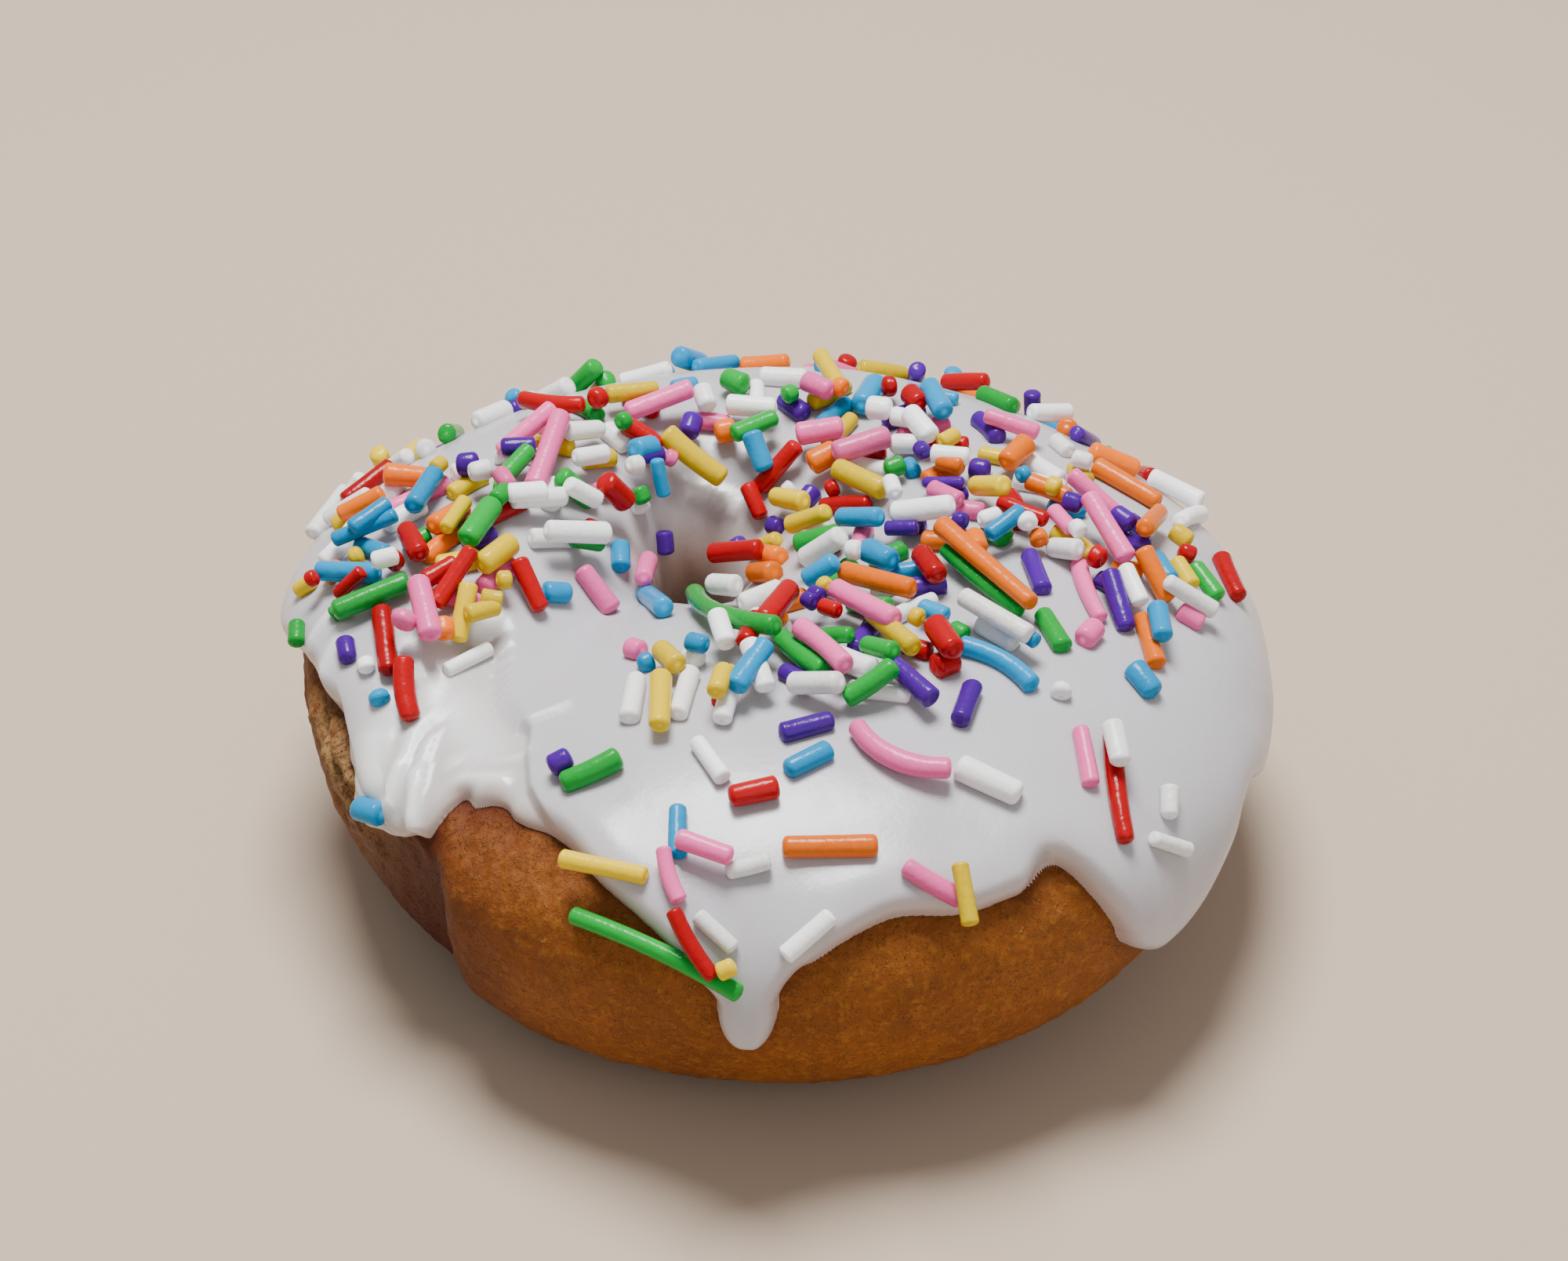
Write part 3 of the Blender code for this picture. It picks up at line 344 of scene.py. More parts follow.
# The stage, in metres, and the camera, which looks a little above the middle of the ring
FLOOR_SIZE = 3.0
KEY_SIZE, KEY_PLACE = 0.24, (-0.03, 0.10, 0.54)
FILL_SIZE, FILL_PLACE = 0.60, (0.26, -0.52, 0.30)
LIGHT_AIM, SURROUND_COLOUR = (0, 0, 0.015), (1.0, 0.99, 0.97, 1.0)
CAMERA_HEIGHT_ANGLE, CAMERA_DISTANCE, CAMERA_LENS, CAMERA_SENSOR = 39.0, 0.340, 86.4, 36.0
CAMERA_AIM = (0.3 * MM, 2.1 * MM, 14.0 * MM)
CAMERA_RAISE, CAMERA_SWING = 1.205, 0.084


def paint(red, green, blue):
    """A colour given as display values from 0 to 255, as the linear values that Blender's colours take."""
    shares = np.array([red, green, blue]) / 255.0
    linear = np.where(shares > 0.04045, ((shares + 0.055) / 1.055) ** 2.4, shares / 12.92)
    return tuple(float(v) for v in linear)


def colour_setting(name, description, display):
    return FloatVectorProperty(
        name=name, description=description, subtype="COLOR", size=3, min=0.0, max=1.0, default=paint(*display)
    )


def length_setting(name, description, metres):
    return FloatProperty(
        name=name, description=description, default=metres, unit="LENGTH", subtype="DISTANCE"
    )


def share_setting(name, description, value):
    return FloatProperty(
        name=name, description=description, default=value, min=0.0, max=1.0, subtype="FACTOR"
    )


def power_setting(name, description, watts):
    return FloatProperty(name=name, description=description, default=watts, unit="POWER")


class DoughSettings(bpy.types.PropertyGroup):
    """The fried ring."""

    crust: colour_setting("Crust", "Golden brown of the fried crust", (136, 76, 22))
    # Colour of darker blotches of crust, and of the painted shade in the crease, under the hem and at the foot
    dark_crust_and_shade: colour_setting("Dark crust", "Crust that fried longest or lies in the crease", (74, 26, 2))
    pale_crust: colour_setting("Pale crust", "Flecks and ridges that the fat left paler", (186, 126, 54))
    torn_crust: colour_setting("Torn crust", "Inside of the torn place", (150, 118, 74))
    relief: length_setting("Relief", "Height of the crust's small bumps", 0.14 * MM)
    torn_relief: length_setting("Torn relief", "Height of the bumps in the torn place", 0.6 * MM)
    roughness: share_setting("Roughness", "How dull the crust is", 0.62)


class IcingSettings(bpy.types.PropertyGroup):
    """The white icing."""

    colour: colour_setting("Icing", "White of the thick icing", (184, 181, 186))
    thin_colour: colour_setting("Thin icing", "Icing wiped so thin that dough shows through", (187, 181, 178))
    # Painted highlight: ridges coloured much whiter than the thick icing
    ridge_highlight: colour_setting("Ridges", "Ridges that fingers pushed up", (228, 227, 226))
    rim_colour: colour_setting("Rim", "Thin edge of the icing, where crust shows through", (196, 160, 142))
    # Deep in the hole: partly dough showing through, partly painted shade
    hole_tint_and_shade: colour_setting("Hole", "Icing deep in the hole, where dough shows through", (168, 140, 124))
    depth: length_setting("Depth", "Thickness of the icing where it lies thick", 1.75 * MM)
    smear_depth: length_setting("Smear depth", "Thickness where fingers wiped it", 0.85 * MM)
    bead_depth: length_setting("Bead", "Extra thickness of the bead along the hem", 0.45 * MM)
    roughness: share_setting("Roughness", "How dull the icing is", 0.26)


class SprinkleSettings(bpy.types.PropertyGroup):
    """The sugar sprinkles."""

    girth: length_setting("Girth", "Middle thickness of a sprinkle", 1.8 * MM)
    seed: IntProperty(name="Seed", description="Which draw of the heaps and small differences", default=41)
    red: colour_setting("Red", "Red sprinkles", (168, 0, 13))
    orange: colour_setting("Orange", "Orange sprinkles", (232, 108, 0))
    yellow: colour_setting("Yellow", "Yellow sprinkles", (222, 188, 0))
    green: colour_setting("Green", "Green sprinkles", (0, 152, 50))
    blue: colour_setting("Blue", "Sky blue sprinkles", (0, 136, 190))
    violet: colour_setting("Violet", "Violet sprinkles", (72, 14, 134))
    pink: colour_setting("Pink", "Pink sprinkles", (234, 96, 158))
    white: colour_setting("White", "White sprinkles", (250, 249, 246))


class StageSettings(bpy.types.PropertyGroup):
    """The floor and the light."""

    floor: colour_setting("Floor", "Pale floor", (186, 167, 148))
    key_power: power_setting("Key light", "Strength of the main soft light", 6.2)
    fill_power: power_setting("Fill light", "Strength of the soft fill light", 0.95)
    surround: share_setting("Surround", "Strength of the even light from all round", 0.44)


def away(turn, centre):
    """Degrees from a centre to a turn, the short way round."""
    return (np.asarray(turn, float) - centre + 180.0) % 360.0 - 180.0


def swells(turn, rows):
    """The sum of smooth humps, each given by its turn, its spread and its height."""
    return sum(
        height * np.exp(-0.5 * (away(turn, centre) / spread) ** 2) for centre, spread, height in rows
    )


def smooth_step(value):
    value = np.clip(value, 0.0, 1.0)
    return value * value * (3.0 - 2.0 * value)


def round_curve(turn, stations):
    """A curve that closes on itself and passes smoothly through stations of turn and value."""
    at, value = np.array(stations, float).T
    at = np.concatenate([at[-2:] - 360.0, at, at[:2] + 360.0])
    value = np.concatenate([value[-2:], value, value[:2]])
    slope = np.gradient(value, at)
    turn = np.asarray(turn, float) % 360.0
    i = np.clip(np.searchsorted(at, turn) - 1, 0, len(at) - 2)
    span = at[i + 1] - at[i]
    f = (turn - at[i]) / span
    line = value[i] + (value[i + 1] - value[i]) * smooth_step(f)
    return line + span * (slope[i] * f * (1 - f) ** 2 - slope[i + 1] * f * f * (1 - f))


def ripple(turn, tilt, scale):
    """A seeded unevenness from about -1 to 1 that closes round the ring."""
    waves = np.random.default_rng(RIPPLE_SEED).uniform(*RIPPLE_SPREAD, (RIPPLE_WAVES, 3))
    total = 0.0
    for k, (a, b, c) in enumerate(waves):
        angle = np.radians(round(scale * a * (k + 2)) * turn + scale * b * (k + 1) * tilt)
        total = total + np.sin(angle + 9 * c)
    return total / 3.0


def lumps(points, size, seed):
    """Seeded smooth unevenness from -1 to 1 at points in space, with bumps of a given size."""
    values = np.random.default_rng(seed).uniform(-1, 1, (LUMP_GRID, LUMP_GRID, LUMP_GRID))
    at = points / size + LUMP_ORIGIN
    cell = np.floor(at).astype(int)
    share = smooth_step(at - cell)
    total = 0.0
    for corner in np.ndindex(2, 2, 2):
        index = (cell + corner) % LUMP_GRID
        weight = np.prod(np.where(corner, share, 1 - share), axis=-1)
        total = total + values[index[..., 0], index[..., 1], index[..., 2]] * weight
    return total


def crease(turn, tilt):
    """How deep the pinch is at a place, from 0 to 1."""
    side = away(turn, CREASE_TURN)
    across = np.exp(-0.5 * (side / np.where(side > 0, CREASE_STEEP, CREASE_SLACK)) ** 2)
    return across * np.clip(1 - np.abs(away(tilt, CREASE_TILT)) / CREASE_REACH, 0, 1)


def crag_share(turn, tilt):
    """1 in the middle of the torn crust, falling to 0 round it."""
    across, up = away(turn, CRAG_TURN) / CRAG_SPREAD_TURN, away(tilt, CRAG_TILT) / CRAG_SPREAD_TILT
    return np.exp(-0.5 * (across**2 + up**2))


def dough_point(turn, tilt):
    """The surface of the dough, as points in metres."""
    turn, tilt = np.broadcast_arrays(np.asarray(turn, float), np.asarray(tilt, float))
    way = np.stack([np.cos(np.radians(turn)), np.sin(np.radians(turn))], -1)
    across, up = np.cos(np.radians(tilt)), np.sin(np.radians(tilt))
    crags = crag_share(turn, tilt) * ripple(turn, tilt, 4.0) * CRAG_RELIEF
    outer = RING_RADIUS + swells(turn, RING_SWELLS) - CREASE_DEPTH * crease(turn, tilt) + crags
    inner = HOLE_RADIUS + swells(turn, HOLE_SWELLS)
    far = RING_MIDDLE + outer[..., None] * way
    near = HOLE_MIDDLE + inner[..., None] * way
    lean = swells(turn, LEAN_SWELLS) * np.clip(up, 0, 1) ** 2
    flat = (far + near) / 2 + (far - near) / 2 * across[..., None] - lean[..., None] * way
    waist = WAIST_HEIGHT + swells(turn, WAIST_SWELLS)
    crest = CREST_HEIGHT + swells(turn, CREST_SWELLS)
    over = waist + (crest - waist) * np.abs(up) ** TOP_ROUNDNESS
    under = waist - (waist + FOOT_DEPTH) * np.abs(up) ** FOOT_ROUNDNESS
    height = np.maximum(np.where(up > 0, over, under), 0.0)
    return np.concatenate([flat, height[..., None]], -1)


def directions(turn, tilt):
    """Unit vectors at a place of the dough: along the turn, towards the hole, and outwards."""
    along = dough_point(turn + 0.5, tilt) - dough_point(turn - 0.5, tilt)
    along = along / np.linalg.norm(along, axis=-1, keepdims=True)
    inward = dough_point(turn, tilt + 0.5) - dough_point(turn, tilt - 0.5)
    out = np.cross(along, inward)
    out = out / np.linalg.norm(out, axis=-1, keepdims=True)
    return along, np.cross(out, along), out


def degree_lengths(turn, tilt):
    """How long one degree of turn and one degree of tilt are at a place of the dough."""
    ring = np.linalg.norm(dough_point(turn + 0.5, tilt) - dough_point(turn - 0.5, tilt), axis=-1)
    section = np.linalg.norm(dough_point(turn, tilt + 0.5) - dough_point(turn, tilt - 0.5), axis=-1)
    return ring, section


def slide(turn, tilt, shift, along, inward):
    """The place that a short shift along the dough leads to, never further than LONGEST_SHIFT."""
    shift = shift * min(1.0, LONGEST_SHIFT / max(np.linalg.norm(shift), 1e-9))
    ring, section = degree_lengths(turn, tilt)
    return turn + shift @ along / ring, tilt + shift @ inward / section


def hem_tilt(turn):
    """The tilt at which the icing stops on the outer wall, drips included."""
    tilt = round_curve(turn, HEM)
    for centre, half_width, drop in DRIPS:
        side = np.abs(away(turn, centre))
        tip = drop - DRIP_TIP * (half_width - np.sqrt(np.maximum(half_width**2 - side**2, 0.0)))
        neck_side = np.clip(half_width + DRIP_NECK - side, 0.0, DRIP_NECK)
        neck = DRIP_TIP * (DRIP_NECK - np.sqrt(DRIP_NECK**2 - neck_side**2))
        tilt = tilt - np.where(side < half_width, np.maximum(tip, neck), neck)
    return tilt


def hole_hem_tilt(turn):
    """The tilt at which the icing stops in the hole."""
    return HOLE_HEM + HOLE_HEM_WAVE * np.sin(np.radians(3 * np.asarray(turn, float) + 40))


def smear(turn, tilt):
    """1 where fingers wiped the icing thin, and 0 where it lies thick."""
    turn, tilt = np.broadcast_arrays(np.asarray(turn, float) % 360.0, np.asarray(tilt, float))
    edge_tilts, edge_turns = np.array(SMEAR_EDGE, float).T
    places = [(edge_turns[0], SMEAR_LOWEST), *zip(edge_turns, edge_tilts), (edge_turns[-1], SMEAR_HIGHEST)]
    apart = np.ones(turn.shape)
    for (turn_1, tilt_1), (turn_2, tilt_2) in zip(places[:-1], places[1:]):
        over, up = (turn - turn_1) * TURN_LENGTH, (tilt - tilt_1) * TILT_LENGTH
        run_over, run_up = (turn_2 - turn_1) * TURN_LENGTH, (tilt_2 - tilt_1) * TILT_LENGTH
        share = np.clip((over * run_over + up * run_up) / (run_over**2 + run_up**2), 0, 1)
        apart = np.minimum(apart, np.hypot(over - share * run_over, up - share * run_up))
    side = np.where(np.interp(tilt, edge_tilts, edge_turns) > turn, 1.0, -1.0)
    inside = smooth_step(side * apart / SMEAR_STEP + 0.5)
    inside = inside * smooth_step((turn - SMEAR_FROM) / SMEAR_FADE)
    return inside * smooth_step((edge_tilts[-1] - tilt) / SMEAR_TOP_FADE)


def ridges(points):
    """Height of the finger ridges at points on the dough."""
    total = np.zeros(points.shape[:-1])
    for turn_1, tilt_1, turn_2, tilt_2, half_width, height in RIDGES:
        start, end = dough_point(np.array([turn_1, turn_2]), np.array([tilt_1, tilt_2]))
        run = end - start
        share = np.clip((points - start) @ run / (run @ run), 0, 1)
        apart = np.linalg.norm(points - start - share[..., None] * run, axis=-1)
        total = np.maximum(total, height * np.exp(-((apart / half_width) ** 2)))
    return total


def icing_lift(turn, tilt, outer, inner, settings):
    """How high the icing stands over the dough, given the distances to its two hems, below 0 outside them."""
    thin = smear(turn, tilt)
    near = np.minimum(outer, inner)
    inside = np.clip(near / HEM_ROUND, 0, 1)
    bead = settings.bead_depth * np.exp(-((outer / BEAD_WIDTH - BEAD_PLACE) ** 2)) * (1 - thin)
    depth = settings.depth + (settings.smear_depth - settings.depth) * thin + bead
    depth = depth + ICING_RIPPLE * ripple(turn, tilt, 1.0) + ICING_GAP
    return np.where(near > 0, depth * np.sqrt(1 - (1 - inside) ** 2), np.maximum(near * HEM_DIP, -TUCKED))


def rough_hem_distances(turn, tilt):
    """Distances from places on the ring to the two hems, by the slope of the outer hem."""
    turn, tilt = np.broadcast_arrays(np.asarray(turn, float), np.asarray(tilt, float))
    low, high = hem_tilt(turn), hole_hem_tilt(turn)
    ring, section = degree_lengths(turn, low)
    slope = (hem_tilt(turn + 0.5) - hem_tilt(turn - 0.5)) * section / ring
    return (tilt - low) * section / np.sqrt(1 + slope**2), (high - tilt) * section


def ring_mesh(name, points, rounds, sections):
    """A closed ring of quads, from points in one row round the section for each line round the ring."""
    i, j = np.divmod(np.arange(rounds * sections), sections)
    ahead, up = (i + 1) % rounds, (j + 1) % sections
    corners = np.stack([i * sections + j, ahead * sections + j, ahead * sections + up, i * sections + up], -1)
    return new_mesh(name, points.reshape(-1, 3), corners)


def new_mesh(name, points, quads):
    """A smooth mesh object from points and four-cornered faces, where a triangle repeats its last corner."""
    mesh = bpy.data.meshes.new(name)
    mesh.from_pydata(points.tolist(), [], [tuple(dict.fromkeys(quad)) for quad in quads.tolist()])
    mesh.validate()
    mesh.shade_smooth()
    obj = bpy.data.objects.new(name, mesh)
    bpy.context.scene.collection.objects.link(obj)
    return obj


def keep_value(obj, name, values):
    """Stores one value for each point of a mesh, for its material."""
    made = obj.data.attributes.new(name, "FLOAT", "POINT")
    made.data.foreach_set("value", np.asarray(values, np.float32).ravel())


def spaced_lines(count, humps):
    """Turns of the lines round the ring, closer together round the given humps."""
    fine = np.arange(0.0, 360.25, 0.25)
    closeness = 1 + swells(fine, humps)
    total = np.concatenate([[0.0], np.cumsum(closeness[:-1])])
    return np.interp(np.arange(count) / count * total[-1], total, fine)


class Value:
    """A value that varies over a surface. Python's operators join it to others with Math nodes."""

    def __init__(self, recipe, socket):
        self.recipe, self.socket = recipe, socket

    def math(self, operation, *terms):
        return self.recipe.node("ShaderNodeMath", {"operation": operation}, dict(enumerate(terms)))

    def __add__(self, other):
        return self.math("ADD", self, other)

    def __sub__(self, other):
        return self.math("SUBTRACT", self, other)

    def __rsub__(self, other):
        return self.math("SUBTRACT", other, self)

    def __mul__(self, other):
        return self.math("MULTIPLY", self, other)

    __radd__, __rmul__ = __add__, __mul__

    def between(self, low, high):
        """0 up to one value, 1 from another, and smooth between them."""
        settings = {"interpolation_type": "SMOOTHSTEP"}
        sockets = {"Value": self, "From Min": low, "From Max": high}
        return self.recipe.node("ShaderNodeMapRange", settings, sockets)


class Recipe:
    """A material and its nodes, written as they are mixed."""

    def __init__(self, name):
        self.material = bpy.data.materials.new(name)
        self.material.use_nodes = True
        self.tree = self.material.node_tree
        self.shader = self.tree.nodes["Principled BSDF"]

    def node(self, kind, settings=None, sockets=None, output=0):
        """A node of one type, with its settings made first, then the values and links of its sockets."""
        made = self.tree.nodes.new(kind)
        for name, value in (settings or {}).items():
            setattr(made, name, value)
        for name, value in (sockets or {}).items():
            self.put(made.inputs[name], value)
        return Value(self, made.outputs[output])

    def put(self, socket, value):
        if isinstance(value, Value):
            self.tree.links.new(value.socket, socket)
        elif socket.type == "RGBA":
            socket.default_value = (*tuple(value)[:3], 1.0)
        else:
            socket.default_value = value

    def set(self, **values):
        """Gives the shader's sockets their values, with spaces in their names as underscores."""
        for name, value in values.items():
            self.put(self.shader.inputs[name.replace("_", " ")], value)

    def noise(self, size, detail=2.0, roughness=0.5, distortion=0.0):
        """Soft unevenness from 0 to 1 with bumps of a given size in metres."""
        place = self.node("ShaderNodeTexCoord", output="Object")
        sockets = {"Vector": place, "Scale": 1.0 / size, "Detail": detail, "Roughness": roughness}
        return self.node("ShaderNodeTexNoise", sockets={**sockets, "Distortion": distortion})

    def stored(self, name):
        """A value that the mesh keeps for each of its points."""
        return self.node("ShaderNodeAttribute", {"attribute_name": name}, output="Fac")

    def mix(self, share, low, high):
        """A colour between two others."""
        settings = {"data_type": "RGBA", "clamp_factor": True}
        return self.node("ShaderNodeMix", settings, {0: share, 6: low, 7: high}, output=2)

    def bump(self, height, distance, strength=1.0):
        sockets = {"Height": height, "Distance": distance, "Strength": strength}
        self.set(Normal=self.node("ShaderNodeBump", sockets=sockets))


def fried_crust(settings):
    """Golden crust: blotches, fine flecks, painted shade in the crease, under the icing and at the foot, paler
    where it tore.
    """
    recipe = Recipe("fried_crust")
    blotches = recipe.noise(BLOTCH, 3.0, 0.6).between(0.32, 0.72)
    grain = recipe.noise(GRAIN, 4.0, 0.7)
    flecks = recipe.noise(FLECK, 3.0, 0.6, 2.4).between(0.56, 0.74)
    colour = recipe.mix(blotches * BLOTCH_SHARE, settings.crust, settings.dark_crust_and_shade)
    colour = recipe.mix(grain.between(0.45, 0.75) * GRAIN_SHARE, colour, settings.pale_crust)
    colour = recipe.mix(flecks * FLECK_SHARE, colour, settings.pale_crust)
    # Painted shade: the stored shade darkens the crust in the crease, under the hem and at the foot
    colour = recipe.mix(recipe.stored("shade"), colour, settings.dark_crust_and_shade)
    colour = recipe.mix(recipe.stored("torn") * grain.between(0.3, 0.6), colour, settings.torn_crust)
    recipe.set(Base_Color=colour, Roughness=grain * 0.3 + (settings.roughness - 0.15))
    recipe.set(Specular_IOR_Level=0.18)
    recipe.bump(grain + flecks * 0.8 + recipe.noise(PORE, 2.0) * 1.2, CRUST_BUMP, 1.0)
    return recipe.material


def sugar_icing(settings):
    """Satin white icing, faintly see-through, warmer and duller where it is wiped thin."""
    recipe = Recipe("white_icing")
    thin = recipe.stored("thin")
    cloud = recipe.noise(CLOUD, 2.0).between(0.3, 0.7)
    colour = recipe.mix(thin * THIN_SHARE, settings.colour, settings.thin_colour)
    colour = recipe.mix(cloud * CLOUD_SHARE, colour, settings.thin_colour)
    # Painted highlight on the finger ridges and on the ridge in the hole, stored as white
    colour = recipe.mix(recipe.stored("white"), colour, settings.ridge_highlight)
    colour = recipe.mix(recipe.stored("rim") * RIM_SHARE, colour, settings.rim_colour)
    # Deep in the hole the icing darkens: partly dough showing through, partly painted shade
    colour = recipe.mix(recipe.stored("hole"), colour, settings.hole_tint_and_shade)
    recipe.set(Base_Color=colour, Roughness=recipe.noise(SHEEN, 3.0) * 0.22 + (settings.roughness - 0.1))
    recipe.set(Subsurface_Weight=0.35, Subsurface_Radius=(1.0, 0.9, 0.8), Subsurface_Scale=1.6 * MM)
    recipe.set(Coat_Weight=0.12, Coat_Roughness=0.14, Specular_IOR_Level=0.36)
    dimples = recipe.noise(DIMPLE, 3.0, 0.5) + recipe.noise(FINE_DIMPLE, 2.0) * 0.25
    recipe.bump(dimples, ICING_BUMP, 0.6)
    return recipe.material


def sugar_shell(name, colour):
    """A sprinkle's waxy sugar: each a little lighter or darker, with faint specks."""
    recipe = Recipe("sprinkle_" + name)
    tone = recipe.stored("tone")
    specks = recipe.noise(SPECK, 3.0, 0.6)
    deep = tuple(c * DEEP_TONE for c in colour)
    light = tuple(min(c * LIGHT_TONE, 1.0) for c in colour)
    mixed = recipe.mix(tone, deep, light)
    mixed = recipe.mix(specks.between(0.3, 0.7) * SPECK_SHARE, mixed, colour)
    recipe.set(Base_Color=mixed, Roughness=specks * 0.2 + 0.12)
    recipe.set(Specular_IOR_Level=0.22)
    recipe.bump(recipe.noise(KNOB, 2.0) + specks * 0.3, SPRINKLE_BUMP, 0.7)
    return recipe.material


def floor_finish(settings):
    """Plain pale floor."""
    recipe = Recipe("pale_floor")
    recipe.set(Base_Color=settings.floor, Roughness=0.7, Specular_IOR_Level=0.3)
    return recipe.material


def finish(piece, material, node):
    """Gives a piece its material, hangs it under the root body, and hides the CAD node that it stands for."""
    piece.data.materials.append(material)
    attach(piece, "root")
    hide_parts(node)


def make_dough(settings):
    """The fried ring, with the small relief of its crust."""
    turns = spaced_lines(DOUGH_ROUNDS, DOUGH_FINE_TURNS)
    shown = np.linspace(*DOUGH_SHOWN_TILTS, DOUGH_SHOWN)
    tilts = np.concatenate([shown, np.linspace(*DOUGH_OTHER_TILTS, DOUGH_SECTIONS - DOUGH_SHOWN)])
    turn, tilt = np.meshgrid(turns, tilts, indexing="ij")
    points = dough_point(turn, tilt)
    _, _, out = directions(turn, tilt)
    below = hem_tilt(turn) - away(tilt, 0.0)
    bare = smooth_step((below + BARE_PAST_HEM) / BARE_FADE)
    bare = bare * smooth_step((away(tilt, 0.0) + FOOT_FROM) / FOOT_FADE)
    torn = crag_share(turn, tilt)
    coarse, fine = CRUST_LUMPS
    relief = settings.relief * (lumps(points, coarse, 3) + 0.6 * lumps(points, fine, 4))
    coarse, fine = TORN_LUMPS
    relief = relief + settings.torn_relief * torn * (lumps(points, coarse, 5) + 0.8 * lumps(points, fine, 6))
    points = points + out * (relief * bare)[..., None]
    points[..., 2] = np.maximum(points[..., 2], 0.0)
    ring = ring_mesh("fried_ring", points, DOUGH_ROUNDS, DOUGH_SECTIONS)
    # Painted shade, stored as shade: a band under the icing's hem (partly a darker, moister crust), the crease
    # and the foot
    shade = HEM_SHADE * np.exp(-np.maximum(below, 0.0) / HEM_SHADE_REACH) + CREASE_SHADE * crease(turn, tilt)
    shade = shade + FOOT_SHADE * smooth_step((FOOT_SHADE_FROM - away(tilt, 0.0)) / FOOT_SHADE_FADE)
    keep_value(ring, "shade", np.clip(shade + swells(turn, SHADE_SWELLS), 0, 1))
    keep_value(ring, "torn", torn)
    return ring


def lowest_nearby(turns, reach):
    """The lowest tilt of the outer hem within some degrees of each turn, smoothed."""
    offsets = np.linspace(-reach, reach, LOOKOUT_STEPS)
    lowest = np.array([hem_tilt(turns + offset) for offset in offsets]).min(0)
    spread = np.exp(-0.5 * (away(turns[:, None], turns[None, :]) / (reach * LOOKOUT_SPREAD)) ** 2)
    return spread @ lowest / spread.sum(1)


def make_icing(settings):
    """The icing as a closed skin that dips into the dough at its hems and runs back inside the dough."""
    turns = spaced_lines(ICING_ROUNDS, FINE_TURNS)
    low = lowest_nearby(turns, HEM_LOOKOUT)[:, None] - HEM_MARGIN
    high = hole_hem_tilt(turns)[:, None] + HEM_MARGIN
    near_hem = low + HEM_ZONE * np.linspace(0, 1, ICING_NEAR_HEM)
    in_hole = high - HOLE_ZONE * np.linspace(1, 0, ICING_IN_HOLE)
    crown = near_hem[:, -1:] + np.linspace(0, 1, ICING_CROWN + 2)[1:-1] * (in_hole[:, :1] - near_hem[:, -1:])
    over = np.concatenate([near_hem, crown, in_hole], 1)
    back = high + np.linspace(0, 1, ICING_UNDER + 2)[1:-1] * (low - high)
    tilt = np.concatenate([over, back], 1)
    turn = np.broadcast_to(turns[:, None], tilt.shape)
    base = dough_point(turn, tilt)
    shown = over.shape[1]
    outer, inner = hem_distances(base[:, :shown])
    outer = np.where(over > hem_tilt(turn[:, :shown]), outer, -outer)
    inner = np.where(over < hole_hem_tilt(turn[:, :shown]), inner, -inner)
    lift = np.full(tilt.shape, -UNDERSIDE)
    surface = icing_lift(turn[:, :shown], over, outer, inner, settings)
    rise = ridges(base[:, :shown]) * smooth_step(outer / RIDGE_FADE)
    lift[:, :shown] = surface + rise + ICING_LUMP * lumps(base[:, :shown], ICING_LUMP_SIZE, 8) * (surface > 0)
    _, _, out = directions(turn, tilt)
    icing = ring_mesh("icing_coat", base + out * lift[..., None], *tilt.shape)
    # Painted highlight: the higher a ridge rises, the whiter it is coloured
    white = np.zeros(tilt.shape)
    white[:, :shown] = np.clip(rise / RIDGE_FULL_HIGHLIGHT, 0, 1)
    keep_value(icing, "white", white)
    rim = np.zeros(tilt.shape)
    rim[:, :shown] = np.exp(-np.maximum(outer, 0.0) / RIM_WIDTH)
    keep_value(icing, "thin", smear(turn, tilt))
    keep_value(icing, "rim", rim)
    # Deeper in the hole, and more on its back wall: dough showing through and painted shade
    deep = smooth_step((tilt - HOLE_FROM) / HOLE_FADE)
    keep_value(icing, "hole", deep * (HOLE_SHARE + swells(turn, HOLE_BACK)))
    return icing


def hem_distances(points):
    """Distances from points on the dough to the outer hem and to the hem in the hole."""
    turns = np.arange(0.0, 360.0, HEM_STEP)
    found = []
    for tilts in (hem_tilt(turns), hole_hem_tilt(turns)):
        share = np.linspace(0, 1, HEM_BETWEEN, endpoint=False)
        rise = np.roll(tilts, -1) - tilts
        line = dough_point(turns[:, None] + HEM_STEP * share, tilts[:, None] + rise[:, None] * share)
        line = line.reshape(-1, 3)
        tree = KDTree(len(line))
        for k, point in enumerate(line):
            tree.insert(point, k)
        tree.balance()
        flat = points.reshape(-1, 3)
        found.append(np.array([tree.find(point)[2] for point in flat]).reshape(points.shape[:-1]))
    return found


def sprinkle_rows(settings):
    """Every sprinkle to lay: colour, turn and tilt of both ends, bend, girth, and how high above the icing it
    may lie, where None stands for one that was read from the photo."""
    draw = np.random.default_rng(settings.seed)
    rows = loose_rows(draw, BOTTOM, BOTTOM_LENGTH, HIGHEST_BOTTOM)
    for colour, turn, tilt, to_turn, to_tilt, girth, *bend in PLACED:
        to_turn = turn + float(away(to_turn, turn))
        rows.append((colour, turn, tilt, to_turn, to_tilt, (bend or [0])[0], girth, None))
    return rows + loose_rows(draw, HEAPS, HEAP_LENGTH, HIGHEST_HEAP)


